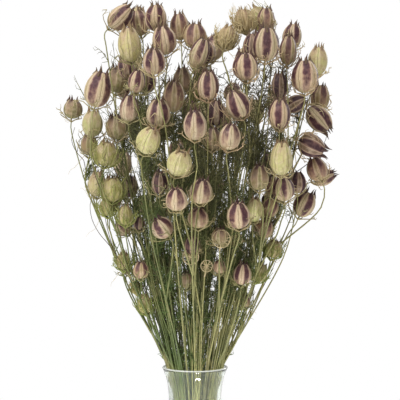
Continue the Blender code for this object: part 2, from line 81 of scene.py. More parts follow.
camera_data = bpy.data.cameras.new("camera")
camera_data.sensor_width = FILM_WIDTH
camera_data.lens = FILM_WIDTH * EYE_DISTANCE / FIELD_WIDTH
camera = placed("camera", camera_data)
camera.location = (EYE_ACROSS * MM, -EYE_DISTANCE * MM, EYE_HEIGHT * MM)
camera.rotation_euler = (math.radians(90), 0, 0)
bpy.context.scene.camera = camera
print("lens", round(camera_data.lens, 1), "mm")

# %% [markdown]
# ## Where everything stands
#
# The pieces have to lie on the solids, so the rules that placed the solids are repeated here: first
# the vase's outline, then one row for each seed head that shows in front. A row gives a head's place
# as it shows, its depth in the bunch, its size, its lean and its look. Sizes are in millimetres.

# %% The vase's outline
VASE_OUTSIDE = ((0, 38), (2, 41), (20, 45), (48, 46), (80, 41), (108, 31), (130, 24), (150, 21.3),
                (178, 21), (190, 22.8), (200, 26.2))
VASE_WALL = 2.6
VASE_FLOOR = 9.0
LIP_HEIGHT = 200.0

# %% The seed heads in front
BUNCH_HEIGHTS = (235, 250, 275, 300, 325, 345, 375, 405, 430, 445, 465, 480)
BUNCH_RADII = (42, 48, 60, 70, 84, 92, 97, 102, 104, 102, 92, 76)
LEAST_DEPTH = 8.0
HEADS = (
    (-59, 479, 0.30, 18, 24, 45, "striped"),
    (-52, 458, 0.80, 19, 29, -5, "pale"),
    (-45, 475, 0.00, 16, 21, -10, "beige"),
    (-31, 479, 0.40, 18, 22, 0, "striped"),
    (-25, 461, 0.60, 20, 24, -8, "striped"),
    (-12, 472, 0.20, 16, 22, -5, "beige"),
    (-33, 444, 0.90, 19, 22, 0, "striped"),
    (0, 464, 0.30, 19, 21, 0, "beige"),
    (4, 451, 0.70, 16, 25, 20, "tipped"),
    (-77, 422, 0.70, 22, 30, 14, "striped"),
    (-62, 430, 0.10, 18, 21, 5, "olive"),
    (-46, 428, 0.80, 14, 19, 10, "tipped"),
    (-55, 438, 0.20, 14, 18, -15, "dark"),
    (-98, 406, 0.00, 16, 16, 5, "olive"),
    (-82, 394, 0.40, 17, 22, 3, "pale"),
    (-63, 391, 0.30, 18, 20, -3, "olive"),
    (-52, 407, 0.70, 16, 22, 3, "tipped"),
    (-29, 403, 0.80, 20, 23, 3, "striped"),
    (-17, 416, 0.60, 18, 26, 3, "beige"),
    (-10, 429, 0.20, 16, 21, 0, "olive"),
    (11, 425, 0.75, 18, 24, 0, "striped"),
    (0, 393, 0.95, 19, 25, 0, "tipped"),
    (-36, 381, 0.90, 20, 23, 22, "pale"),
    (-12, 363, 0.95, 21, 22, 18, "pale"),
    (-71, 370, 0.60, 20, 20, 10, "leafy"),
    (-85, 378, 0.20, 14, 18, 0, "olive"),
    (17, 403, 0.30, 16, 21, 0, "dark"),
    (26, 463, 0.20, 16, 19, 15, "fuzzy"),
    (39, 477, 0.20, 15, 19, -10, "fuzzy"),
    (57, 478, 0.10, 15, 18, 0, "beige"),
    (57, 458, 0.75, 22, 28, 2, "striped"),
    (46, 456, 0.30, 16, 22, 0, "dark"),
    (78, 464, 0.15, 16, 21, 8, "striped"),
    (74, 451, 0.40, 14, 24, 3, "beige"),
    (41, 440, 0.75, 21, 23, -3, "striped"),
    (87, 432, 0.60, 22, 27, 0, "striped"),
    (98, 444, 0.10, 16, 24, 5, "pale"),
    (34, 410, 0.80, 20, 24, -22, "striped"),
    (68, 402, 0.80, 18, 25, 0, "striped"),
    (99, 399, 0.50, 19, 25, 140, "striped"),
    (101, 415, 0.10, 16, 22, 5, "beige"),
    (93, 375, 0.50, 19, 23, 115, "dark"),
    (28, 384, 0.90, 18, 22, 8, "tipped"),
    (68, 366, 0.85, 18, 28, 0, "pale"),
    (69, 425, 0.30, 14, 22, 0, "dark"),
    (81, 410, 0.20, 14, 18, 60, "dark"),
    (98, 358, 0.30, 17, 20, -20, "beige"),
    (14, 382, 0.50, 16, 18, 0, "olive"),
    (-28, 347, 0.60, 14, 19, 0, "dark"),
    (-14, 334, 1.00, 18, 19, 0, "tipped"),
    (5, 340, 0.95, 19, 21, 8, "tipped"),
    (3, 319, 0.85, 17, 17, 0, "beige"),
    (-26, 311, 0.80, 18, 18, -35, "tipped"),
    (-2, 297, 0.70, 14, 15, 0, "dark"),
    (-78, 346, 0.30, 15, 21, 3, "pale"),
    (-66, 341, 0.50, 18, 20, 0, "leafy"),
    (-70, 328, 0.40, 14, 14, 0, "leafy"),
    (-55, 321, 0.50, 12, 16, 0, "leafy"),
    (-43, 277, 0.80, 13, 14, 0, "beige"),
    (-57, 284, 0.50, 12, 14, 0, "leafy"),
    (-40, 250, 0.60, 12, 16, -10, "leafy"),
    (-7, 269, 0.60, 9, 14, 0, "olive"),
    (-45, 314, 0.40, 10, 10, 0, "dark"),
    (20, 304, 0.85, 14, 14, 0, "olive"),
    (20, 280, 0.70, 11, 12, 0, "tipped"),
    (35, 321, 1.00, 19, 22, -3, "striped"),
    (49, 325, 0.70, 14, 20, 5, "pale"),
    (60, 327, 0.40, 14, 17, 25, "beige"),
    (55, 312, 0.60, 16, 15, 30, "beige"),
    (71, 342, 0.70, 18, 20, -5, "tipped"),
    (88, 330, 0.50, 18, 22, 25, "striped"),
    (104, 352, 0.15, 14, 18, 70, "tipped"),
    (82, 347, 0.20, 14, 18, 0, "dark"),
    (63, 294, 0.40, 14, 15, 15, "leafy"),
    (38, 274, 0.80, 15, 18, 5, "striped"),
    (52, 275, 0.50, 12, 16, 25, "leafy"),
    (41, 252, 0.60, 7, 10, 0, "olive"),
    (52, 351, 0.70, 16, 21, 0, "olive"),
    (32, 303, 0.50, 10, 10, 0, "olive"),
    (62, 344, 0.30, 11, 16, 0, "beige"),
)
print(len(HEADS), "heads in front")

# %% [markdown]
# A head is its middle, the way that its tip points, its size and its look. Heads behind, which the
# photograph does not show, are those in front turned half round the axis. All are then eased apart,
# mostly along the line of sight, so that the front view is kept.

# %% Heads, front and back
LEAN_OUT = 0.004
BACK_FROM_DEPTH = 0.58
MIDDLE_FROM_DEPTH = 0.2
MIDDLE_STEP = 3
BACK_REACH = 78.0
BACK_STEP = 9.0
BACK_TILT = 0.15
BACK_SIZE = 0.96
BACK_LOOK_STEP = 5
SEED = 11
HEAD_ROOM = 3.6
SPREAD_ROUNDS = 240
SPREAD_SHARE = 0.12  # of the way that a head has to go, in one round
SIDE_SHARE = 0.25
LONGEST_MOVE = 3.0
STILL = 0.01
NECK_TAIL = 7.0  # straight stem under a head, before it bends to its route
LEAFY = ("leafy", "fuzzy")


def unit(vector):
    vector = np.asarray(vector, float)
    return vector / np.linalg.norm(vector)


def outward(turn):
    """The level direction with this turn round the axis."""
    return np.array([math.cos(turn), math.sin(turn), 0])


def bunch_radius(z):
    """Radius of the whole bunch at a height."""
    return np.interp(z, BUNCH_HEIGHTS, BUNCH_RADII)


class Head:
    """One seed head: its middle, the way that its tip points, its size and its look."""

    def __init__(self, middle, axis, width, length, look):
        self.middle = np.array(middle, float)
        self.axis = unit(axis)
        self.width = width
        self.length = length
        self.look = look

    @property
    def base(self):
        return self.middle - self.axis * self.length / 2

    @property
    def tail(self):
        return self.base - self.axis * NECK_TAIL

    def balls(self):
        """Balls that fill the head, its crown and its tail, as (middle, radius)."""
        radius = self.width / 2
        reach = max(self.length / 2 - radius, 0)
        rows = ((-reach, radius), (0, radius), (reach, radius), (self.length / 2 + 1.5, radius * 0.45),
                (-self.length / 2 - NECK_TAIL * 0.6, 0.5))
        return [(self.middle + self.axis * along, size) for along, size in rows]


def front_heads():
    """The heads in HEADS, each moved along its line of sight to its depth."""
    heads = []
    for x, z, depth, width, length, lean, look in HEADS:
        y = -depth * math.sqrt(max(bunch_radius(z) ** 2 - x**2, LEAST_DEPTH**2))
        near = (EYE_DISTANCE + y) / EYE_DISTANCE
        middle = (x * near, y, EYE_HEIGHT + (z - EYE_HEIGHT) * near)
        tilt = math.radians(lean)
        axis = (math.sin(tilt), LEAN_OUT * y, math.cos(tilt))
        heads.append(Head(middle, axis, width * near, length * near, look))
    return heads


def back_heads(front):
    """The outer front heads turned half round, with the looks of other heads."""
    draw = np.random.default_rng(SEED)
    inner = [(head, row[2]) for head, row in zip(front, HEADS) if abs(row[0]) < BACK_REACH]
    chosen = [head for head, depth in inner if depth >= BACK_FROM_DEPTH]
    chosen += [head for head, depth in inner if MIDDLE_FROM_DEPTH <= depth < BACK_FROM_DEPTH][::MIDDLE_STEP]
    heads = []
    for number, head in enumerate(chosen):
        middle = head.middle * (-1, -1, 1) + draw.uniform(-BACK_STEP, BACK_STEP, 3)
        axis = head.axis * (-1, -1, 1) + draw.uniform(-BACK_TILT, BACK_TILT, 3)
        look = chosen[(number + BACK_LOOK_STEP) % len(chosen)].look
        heads.append(Head(middle, axis, head.width * BACK_SIZE, head.length * BACK_SIZE, look))
    return heads


def spread_heads(heads):
    """Moves the heads apart, mostly along the line of sight, until none is in another's room."""
    for _ in range(SPREAD_ROUNDS):
        balls = [ball for head in heads for ball in head.balls()]
        spots = np.array([spot for spot, _ in balls])
        radii = np.array([radius for _, radius in balls])
        owner = np.repeat(np.arange(len(heads)), len(balls) // len(heads))
        apart = spots[:, None] - spots[None]
        need = radii[:, None] + radii[None] + HEAD_ROOM
        short = need - np.linalg.norm(apart, axis=2)
        short[owner[:, None] == owner[None]] = 0
        moves = np.zeros((len(heads), 3))
        for i, j in zip(*np.nonzero(short > 0)):
            across = apart[i, j] * (1, 0, 1)
            side = 1.0 if apart[i, j, 1] >= 0 else -1.0
            deep = math.sqrt(max(need[i, j] ** 2 - across @ across, 0)) - abs(apart[i, j, 1])
            push = np.array([0, side * deep, 0]) + SIDE_SHARE * short[i, j] * across / need[i, j]
            moves[owner[i]] += SPREAD_SHARE * push
        longest = np.abs(moves).max()
        if longest < STILL:
            break
        moves *= min(1.0, LONGEST_MOVE / longest)
        for head, move in zip(heads, moves):
            head.middle = head.middle + move
    return heads


front = front_heads()
heads = spread_heads(front + back_heads(front))
print(len(heads), "heads in all")

# %% [markdown]
# ## The stems' ways
#
# A plant is one main stem with forks, and its heads are neighbours, so heads whose stems would run
# side by side share a plant. The stems rise through the neck of the vase and fan out, and each keeps
# clear of every other and of every head by being pushed aside, level by level, until it has room.

# %% Heads shared out to plants
PLANTS = 44
LABEL_ROUNDS = 14
NECK_HEIGHT = 197.0
NECK_SPREAD = 15.5
FAN_SLOPE = 0.40
FOOT_SPREAD = 24.0
LEVELS = np.array([VASE_FLOOR + 1.0, 55, 100, 130, 150, 164, 178, 188, NECK_HEIGHT, *range(207, 490, 10)],
                  float)


def fan_radius(z):
    """Radius of the fan of stems at a height."""
    fanned = NECK_SPREAD + FAN_SLOPE * (z - NECK_HEIGHT)
    held = np.interp(z, (LEVELS[0], 140, NECK_HEIGHT), (FOOT_SPREAD, NECK_SPREAD - 1, NECK_SPREAD))
    return np.where(z > NECK_HEIGHT, fanned, held)


def inner_radius(z):
    """Radius of the room inside the vase at a height."""
    return np.interp(z, *zip(*VASE_OUTSIDE)) - VASE_WALL


def share_out(heads):
    """Gives each head to one of the plants: those whose stems would run side by side go together."""
    labels = np.array([h.base[:2] / fan_radius(h.base[2]) for h in heads])
    turn = math.pi * (3 - math.sqrt(5))
    numbers = np.arange(PLANTS)
    radii = np.sqrt((numbers + 0.5) / PLANTS)
    centres = np.stack([radii * np.cos(turn * numbers), radii * np.sin(turn * numbers)], axis=1)
    for _ in range(LABEL_ROUNDS):
        nearest = np.linalg.norm(labels[:, None] - centres[None], axis=2).argmin(axis=1)
        for k in range(PLANTS):
            if (nearest == k).any():
                centres[k] = labels[nearest == k].mean(axis=0)
    used = [k for k in range(PLANTS) if (nearest == k).any()]
    plants = [[heads[i] for i in np.nonzero(nearest == k)[0]] for k in used]
    for plant in plants:
        plant.sort(key=lambda h: -h.tail[2])
    order = sorted(range(len(plants)), key=lambda p: (plants[p][0].middle[0], plants[p][0].middle[1]))
    return [plants[p] for p in order], [centres[used[p]] for p in order]


plants, labels = share_out(heads)
print(len(plants), "plants")

# %% Routes
STEM_ROOM = 1.5
HEAD_ROOM_SHARE = 0.7  # of the stems' room, that a head gets
GLASS_ROOM = 1.3
STEM_PUSH = 0.5
HEAD_PUSH = 0.7
ROUTE_ROUNDS = 320
SMOOTH_ROUNDS = 0.9  # share of the rounds that also smooth the routes
SMOOTHING = 0.30
LOWEST_FORK = 206.0
FORK_REACH = 42.0
FORK_SPREAD = 1.9
MAIN_RADII = (1.25, 0.90)  # at the foot and under the head
FORK_RADII = (0.95, 0.75)
BRACT_THICK = 0.55
BRACT_CLEAR = 1.4


class Route:
    """The way of one head's stem: its place at each level, and the level where it leaves its plant."""

    def __init__(self, plant, head, main, label):
        self.plant = plant
        self.head = head
        self.main = main
        self.top = int(np.searchsorted(LEVELS, head.tail[2] - 5)) - 1
        heights = LEVELS[: self.top + 1]
        stem = label * fan_radius(heights)[:, None] if main is None else main.points[: self.top + 1]
        if main is None:
            fork_height = NECK_HEIGHT
            self.fork = 0
        else:
            sideways = np.linalg.norm(head.tail[:2] - stem[-1])
            reach = max(FORK_REACH, FORK_SPREAD * sideways)
            fork_height = max(LOWEST_FORK, head.tail[2] - reach)
            self.fork = min(int(np.searchsorted(LEVELS, fork_height)), self.top)
        share = np.clip((heights - fork_height) / (head.tail[2] - fork_height), 0, 1)[:, None]
        self.points = stem * (1 - share) + head.tail[:2] * share

    def radii(self):
        """The stem's radius at each level."""
        thick, thin = MAIN_RADII if self.main is None else FORK_RADII
        return np.interp(LEVELS[: self.top + 1], (LEVELS[self.fork], self.head.tail[2]), (thick, thin))


def head_discs(heads, z):
    """The heads cut at a height: (centres, radii, owners)."""
    discs = []
    for number, head in enumerate(heads):
        for spot, radius in head.balls():
            reach = radius + BRACT_CLEAR + BRACT_THICK
            if abs(spot[2] - z) < reach:
                discs.append((spot[0], spot[1], math.sqrt(reach**2 - (spot[2] - z) ** 2), number))
    discs = np.array(discs).reshape(-1, 4)
    return discs[:, :2], discs[:, 2], discs[:, 3]


def push_away(spots, centres, need, spared):
    """How each spot has to move to be as far from each centre as it needs, but for pairs spared."""
    apart = spots[:, None] - centres[None]
    gaps = np.linalg.norm(apart, axis=2) + 1e-9
    short = np.where(spared, 0, np.maximum(need - gaps, 0))
    return (short[:, :, None] * apart / gaps[:, :, None]).sum(axis=1)


def run_routes(plants, labels):
    """Finds a route for each head's stem that keeps clear of every other plant and every head."""
    routes = []
    for number, plant in enumerate(plants):
        main = Route(number, plant[0], None, labels[number])
        routes.append(main)
        routes += [Route(number, head, main, labels[number]) for head in plant[1:]]
    discs = [head_discs([route.head for route in routes], z) for z in LEVELS]
    radii = [route.radii() for route in routes]
    for turn in range(ROUTE_ROUNDS):
        for level, z in enumerate(LEVELS):
            here = np.array([i for i, r in enumerate(routes) if r.fork <= level <= r.top])
            if not len(here):
                continue
            spots = np.array([routes[i].points[level] for i in here])
            thick = np.array([radii[i][level] for i in here])
            plant = np.array([routes[i].plant for i in here])
            forks = np.array([routes[i].fork for i in here])
            joined = (plant[:, None] == plant[None]) & (np.maximum(forks[:, None], forks[None]) >= level)
            need = thick[:, None] + thick[None] + STEM_ROOM
            moves = STEM_PUSH * push_away(spots, spots, need, joined)
            centres, sizes, owners = discs[level]
            need = sizes[None] + thick[:, None] + HEAD_ROOM_SHARE * STEM_ROOM
            moves += HEAD_PUSH * push_away(spots, centres, need, here[:, None] == owners[None])
            spots = spots + moves
            if z <= LIP_HEIGHT:
                most = inner_radius(z) - thick - GLASS_ROOM
                away = np.linalg.norm(spots, axis=1)
                spots *= np.minimum(1, most / np.maximum(away, 1e-9))[:, None]
            for i, spot in zip(here, spots):
                routes[i].points[level] = spot
        for route in routes:
            if route.main is not None:
                route.points[: route.fork] = route.main.points[: route.fork]
            if turn <= ROUTE_ROUNDS * SMOOTH_ROUNDS:
                padded = np.vstack([route.points, route.head.tail[:2]])
                middle = (padded[:-2] + padded[2:]) / 2
                route.points[1:] += SMOOTHING * (middle - route.points[1:])
    return routes


routes = run_routes(plants, labels)

# %% [markdown]
# The line of a stem runs from its foot, or from its fork on the main stem, up its route and into the
# base of its head. The solids use straight pieces between a few points. Here a smooth curve runs
# through the same points, so that no corner shows.

# %% Lines of the stems
COLLAR = 1.8  # height of the ring under the head that the bracts grow from
SHARP_TURN = 35.0
CORNER_CUT = 4.0
CORNER_RISE = 0.3
STRAIGHT_WITHIN = 0.6  # a route's point nearer than this to its chord is left out


def straightened(points, within):
    """The points of a line without those that lie within this distance of the chords left."""
    if len(points) < 3:
        return points
    first, last = points[0], points[-1]
    along = unit(last - first)
    offsets = points - first
    away = np.linalg.norm(offsets - np.outer(offsets @ along, along), axis=1)
    furthest = int(away.argmax())
    if away[furthest] < within:
        return np.array([first, last])
    return np.vstack([straightened(points[: furthest + 1], within)[:-1],
                      straightened(points[furthest:], within)])


def rounded_corner(before, corner, after):
    """The corner itself, or two points that cut it off where the stem turns sharply."""
    cosine = unit(corner - before) @ unit(after - corner)
    if cosine > math.cos(math.radians(SHARP_TURN)):
        return corner[None]
    low = corner + unit(before - corner) * min(CORNER_CUT, np.linalg.norm(before - corner) / 2)
    high = corner + (after - corner) * CORNER_RISE
    return np.array([low, high])


def stem_line(route):
    """The stem's centre line: from the foot, or the fork on the main stem, into the head's base."""
    start = max(route.fork - 1, 0)
    levels = LEVELS[start : route.top + 1]
    rising = np.column_stack([route.points[start:], levels])
    if route.main is not None:
        rising[0] = point_at(stem_line(route.main), levels[0])
    head = route.head
    rising = straightened(rising, STRAIGHT_WITHIN)
    collar = head.base - head.axis * COLLAR
    return np.vstack([rising, rounded_corner(rising[-1], head.tail, collar), collar, head.base])


def point_at(line, z):
    """The point of a stem's line at a height, where it still rises."""
    rising = line[: 1 + int(line[:, 2].argmax())]
    return np.array([np.interp(z, rising[:, 2], rising[:, k]) for k in range(3)])


def smooth_line(points, step):
    """A smooth curve through the points, cut into pieces of about this length."""
    points = np.asarray(points, float)
    ghost = np.vstack([2 * points[0] - points[1], points, 2 * points[-1] - points[-2]])
    gaps = np.sqrt(np.linalg.norm(np.diff(ghost, axis=0), axis=1)) + 1e-6
    curve = []
    for k in range(1, len(points)):
        a, b, c, d = ghost[k - 1 : k + 3]
        before, here, after = gaps[k - 1 : k + 2]
        leave = (b - a) / before - (c - a) / (before + here) + (c - b) / here
        arrive = (c - b) / here - (d - b) / (here + after) + (d - c) / after
        count = max(2, int(np.linalg.norm(c - b) / step))
        t = (np.arange(count) / count)[:, None]
        curve.append((2 * t**3 - 3 * t**2 + 1) * b + (t**3 - 2 * t**2 + t) * leave * here
                     + (3 * t**2 - 2 * t**3) * c + (t**3 - t**2) * arrive * here)
    return np.vstack([*curve, points[-1:]])


stem_lines = [stem_line(route) for route in routes]
print("longest stem", round(max(np.linalg.norm(np.diff(l, axis=0), axis=1).sum() for l in stem_lines)), "mm")

# %% The leaves that the solids have
LEAVES = 44
LEAVES_EACH = 2
LEAF_TRIES = 5
LEAF_HEIGHTS = (214.0, 345.0)
LEAF_LENGTHS = (12.0, 24.0)
LEAF_RADIUS = 0.45
LEAF_ROOM = 0.9


def leaf_lines(routes, lines):
    """Thread-like leaves on the stems, as (route, points), that keep clear of all but their own stem."""
    draw = np.random.default_rng(SEED + 4)
    starts = np.vstack([line[:-1] for line in lines])
    ends = np.vstack([line[1:] for line in lines])
    owners = np.repeat(np.arange(len(lines)), [len(line) - 1 for line in lines])
    thick = np.full(len(starts), MAIN_RADII[0])
    balls = [(middle, radius + BRACT_CLEAR + BRACT_THICK)
             for route in routes for middle, radius in route.head.balls()]
    leaves = []
    for number in np.tile(draw.permutation(len(routes)), LEAF_TRIES):
        line = lines[number]
        z = draw.uniform(*LEAF_HEIGHTS)
        length = draw.uniform(*LEAF_LENGTHS)
        out = outward(draw.uniform(0, 2 * math.pi))
        grown = sum(route.plant == routes[number].plant for route, _ in leaves)
        if not line[0][2] + 3 < z < min(line[-3:, 2]) - 8 or len(leaves) == LEAVES or grown == LEAVES_EACH:
            continue
        root = point_at(line, z)
        knee = root + (0.30 * out + np.array([0, 0, 0.42])) * length
        tip = root + (0.42 * out + np.array([0, 0, 1.0])) * length
        spots = np.vstack([np.linspace(root, knee, 6), np.linspace(knee, tip, 8)])
        other = owners != number
        away = np.stack([gap_to_lines(spot, starts[other], ends[other]) for spot in spots])
        clear = (away > thick[other] + LEAF_ROOM).all()
        clear &= all(np.linalg.norm(spots - middle, axis=1).min() > reach + LEAF_ROOM
                     for middle, reach in balls)
        if clear:
            leaves.append((routes[number], np.array([root, knee, tip])))
            starts = np.vstack([starts, root, knee])
            ends = np.vstack([ends, knee, tip])
            owners = np.append(owners, [-1, -1])
            thick = np.append(thick, [LEAF_RADIUS] * 2)
    return leaves


def gap_to_lines(spot, starts, ends):
    """Distance from a point to each of many straight pieces."""
    along = ends - starts
    share = ((spot - starts) * along).sum(axis=1) / np.maximum((along**2).sum(axis=1), 1e-9)
    nearest = starts + along * np.clip(share, 0, 1)[:, None]
    return np.linalg.norm(spot - nearest, axis=1)


leaves = leaf_lines(routes, stem_lines)
print(len(leaves), "leaves on the solids")

# %% [markdown]
# ## Materials
#
# Each material is wired from small helpers. A helper either links a socket or sets its value, so that
# a recipe reads as a sum. Colours that differ from pod to pod, or from the foot of a stem to its top,
# ride on the mesh as an attribute, and noise breaks them up.

# %% Helpers for materials


def linear(red, green, blue):
    """A colour given in screen values from 0 to 255, as the shader wants it."""
    return np.array([((c / 255 + 0.055) / 1.055) ** 2.4 if c > 10 else c / 255 / 12.92
                     for c in (red, green, blue)])


def put(tree, socket, value):
    """Links the value to the socket if it is another socket, or else sets it."""
    if isinstance(value, bpy.types.NodeSocket):
        tree.links.new(value, socket)
    else:
        socket.default_value = value


def maths(tree, operation, *values):
    """The result of one sum on numbers."""
    step = tree.nodes.new("ShaderNodeMath")
    step.operation = operation
    for socket, value in zip(step.inputs, values):
        put(tree, socket, value)
    return step.outputs[0]


def times(tree, first, second):
    return maths(tree, "MULTIPLY", first, second)


def less(tree, first, second):
    return maths(tree, "SUBTRACT", first, second)


def ramp(tree, value, low, high, to_low=0.0, to_high=1.0):
    """A soft step: to_low where the value is at low, and to_high where it is at high."""
    step = tree.nodes.new("ShaderNodeMapRange")
    step.interpolation_type = "SMOOTHSTEP"
    for socket, given in zip(step.inputs, (value, low, high, to_low, to_high)):
        put(tree, socket, given)
    return step.outputs[0]


def blend(tree, share, first, second):
    """Two colours mixed by a share."""
    step = tree.nodes.new("ShaderNodeMix")
    step.data_type = "RGBA"
    put(tree, step.inputs["Factor"], share)
    for socket, colour in ((step.inputs[6], first), (step.inputs[7], second)):
        put(tree, socket, colour if isinstance(colour, bpy.types.NodeSocket) else (*colour, 1))
    return step.outputs[2]


def layered(tree, colour, *layers):
    """A colour with others laid over it, each as (value, low, high, most, colour)."""
    for value, low, high, most, over in layers:
        colour = blend(tree, ramp(tree, value, low, high, 0.0, most), colour, over)
    return colour


def texture(tree, kind, stretch, scale):
    """A texture on the object's own coordinates, stretched by three factors."""
    place = tree.nodes.new("ShaderNodeTexCoord")
    mapping = tree.nodes.new("ShaderNodeMapping")
    made = tree.nodes.new(kind)
    mapping.inputs["Scale"].default_value = stretch
    made.inputs["Scale"].default_value = scale
    tree.links.new(place.outputs["Object"], mapping.inputs["Vector"])
    tree.links.new(mapping.outputs[0], made.inputs["Vector"])
    return made


def noise(tree, stretch, scale, detail=3.0):
    cloud = texture(tree, "ShaderNodeTexNoise", stretch, scale)
    cloud.inputs["Detail"].default_value = detail
    return cloud.outputs["Fac"]


def net(tree, stretch, scale):
    """Lines of a net: 0 on a line, growing away from it."""
    cells = texture(tree, "ShaderNodeTexVoronoi", stretch, scale)
    cells.feature = "DISTANCE_TO_EDGE"
    return cells.outputs["Distance"]


def carried(tree, name):
    """The colour that the mesh carries under this name."""
    found = tree.nodes.new("ShaderNodeAttribute")
    found.attribute_name = name
    return found


def new_material(name):
    material = bpy.data.materials.new(name)
    material.use_nodes = True
    tree = material.node_tree
    return material, tree, tree.nodes["Principled BSDF"]


def surface(tree, shader, colour, roughness):
    put(tree, shader.inputs["Base Color"], colour)
    put(tree, shader.inputs["Roughness"], roughness)


def raise_from(tree, shader, height, strength, distance):
    """Bumps the surface by a height, in metres."""
    bump = tree.nodes.new("ShaderNodeBump")
    bump.inputs["Strength"].default_value = strength
    bump.inputs["Distance"].default_value = distance
    tree.links.new(height, bump.inputs["Height"])
    tree.links.new(bump.outputs[0], shader.inputs["Normal"])


# %% [markdown]
# ### The pod's skin
#
# A pod has five chambers. Each carries a plum-coloured lens that narrows towards the foot and fades
# there in streaks, and between two lenses a pale rib runs up and ends in a thin wedge at the crown. A
# fine light ridge edges each lens, and a thin dark seam parts two chambers. The pattern is drawn on
# the pod's own map: across a chamber from 0 to 1, and up the pod from 0 to 1.

# %% Pod material
LENS_AT_FOOT = 0.42
LENS_GROWTH = 0.40
PAPER_PALE = linear(224, 206, 178)
PAPER_BROWN = linear(142, 114, 82)
FOOT_GREEN = linear(150, 152, 88)
HALO_PINK = linear(160, 118, 104)
PLUM_DEEP = linear(56, 27, 34)
PLUM_WORN = linear(120, 80, 80)
RIDGE_PALE = linear(228, 206, 174)
SEAM_BROWN = linear(104, 80, 56)
CROWN_DARK = linear(62, 40, 40)


def pod_material():
    material, tree, shader = new_material("papery_pod")
    where = tree.nodes.new("ShaderNodeUVMap")
    where.uv_map = "pod"
    split = tree.nodes.new("ShaderNodeSeparateXYZ")
    tree.links.new(where.outputs[0], split.inputs[0])
    up = split.outputs["Y"]
    off = times(tree, maths(tree, "ABSOLUTE", less(tree, split.outputs["X"], 0.5)), 2.0)
    mottle = noise(tree, (1, 1, 1), 230.0)
    streak = noise(tree, (1, 1, 0.15), 800.0, 2.0)
    grain = noise(tree, (1, 1, 0.5), 1500.0, 2.0)
    veins = net(tree, (1, 1, 0.6), 420.0)
    blot = less(tree, mottle, 0.5)

    stripe = carried(tree, "stripe")
    strength = stripe.outputs["Alpha"]
    width = maths(tree, "MULTIPLY_ADD", times(tree, up, up), LENS_GROWTH, LENS_AT_FOOT)
    inside = less(tree, maths(tree, "ADD", width, times(tree, blot, 0.46)), off)
    ragged = maths(tree, "MULTIPLY_ADD", blot, 0.45, up)
    ragged = maths(tree, "MULTIPLY_ADD", less(tree, streak, 0.5), 0.25, ragged)
    rise = less(tree, ragged, carried(tree, "foot").outputs["Fac"])
    dark = times(tree, ramp(tree, inside, -0.12, 0.16), ramp(tree, rise, -0.04, 0.34))
    halo = times(tree, ramp(tree, inside, -0.42, 0.04), ramp(tree, rise, -0.44, 0.12))
    halo = times(tree, times(tree, halo, strength), 0.56)

    ground = layered(tree, carried(tree, "ground").outputs["Color"],
                     (mottle, 0.40, 0.70, 0.45, PAPER_PALE), (streak, 0.50, 0.75, 0.35, PAPER_BROWN),
                     (veins, 0.10, 0.0, 0.30, PAPER_BROWN), (up, 0.26, 0.0, 0.60, FOOT_GREEN))
    plum = layered(tree, stripe.outputs["Color"],
                   (inside, 0.10, 0.50, 0.55, PLUM_DEEP), (grain, 0.48, 0.75, 0.40, PLUM_WORN),
                   (mottle, 0.52, 0.34, 0.22, HALO_PINK), (up, 0.50, 0.86, 0.60, PLUM_DEEP))
    colour = blend(tree, halo, ground, HALO_PINK)
    colour = blend(tree, times(tree, dark, strength), colour, plum)
    edge = ramp(tree, maths(tree, "ABSOLUTE", less(tree, less(tree, off, width), 0.16)), 0.10, 0.0)
    colour = blend(tree, times(tree, edge, 0.40), colour, RIDGE_PALE)
    colour = layered(tree, colour, (off, 0.92, 1.0, 0.55, SEAM_BROWN), (up, 0.84, 0.97, 0.85, CROWN_DARK))
    surface(tree, shader, colour, ramp(tree, mottle, 0.3, 0.7, 0.50, 0.72))
    height = maths(tree, "MULTIPLY_ADD", edge, 1.2, times(tree, streak, 0.5))
    height = maths(tree, "ADD", height, ramp(tree, veins, 0.0, 0.12, 0.0, -0.4))
    raise_from(tree, shader, height, 0.5, 0.0004)
    return material


papery = pod_material()
print(len(papery.node_tree.nodes), "nodes in the pod's material")

# %% [markdown]
# ### Stems and threads
#
# A dry nigella stem is finely grooved and runs from green at the foot to straw at the top. The
# bracts, the leaves and the horns are threads of the same stuff, so both materials read the colour
# that the mesh carries, and grooves run along the stems.

# %% Stem and thread materials


def dry_material(name, broad, fine, pale, dark, roughness, relief):
    """The mesh's own colour with pale patches from a broad noise and dark ones from a fine noise.

    The roughness goes by one of the two noises, and the fine noise bumps the surface.
    """
    material, tree, shader = new_material(name)
    clouds = [noise(tree, *broad), noise(tree, *fine, 1.0)]
    colour = carried(tree, "ground").outputs["Color"]
    colour = layered(tree, colour, (clouds[0], *pale), (clouds[1], *dark))
    surface(tree, shader, colour, ramp(tree, clouds[roughness[0]], 0.3, 0.7, *roughness[1:]))
    raise_from(tree, shader, clouds[1], *relief)
    return material


stalk = dry_material("dry_stem", ((1, 1, 0.35), 60.0), ((1, 1, 0.02), 2600.0),
                     (0.40, 0.70, 0.45, linear(196, 184, 124)), (0.42, 0.62, 0.45, linear(70, 78, 40)),
                     (0, 0.45, 0.65), (0.5, 0.0002))
thread = dry_material("dry_thread", ((1, 1, 1), 130.0), ((1, 1, 1), 1400.0),
                      (0.42, 0.70, 0.30, linear(150, 140, 92)), (0.5, 0.7, 0.4, linear(58, 50, 32)),
                      (1, 0.70, 0.90), (0.3, 0.0001))
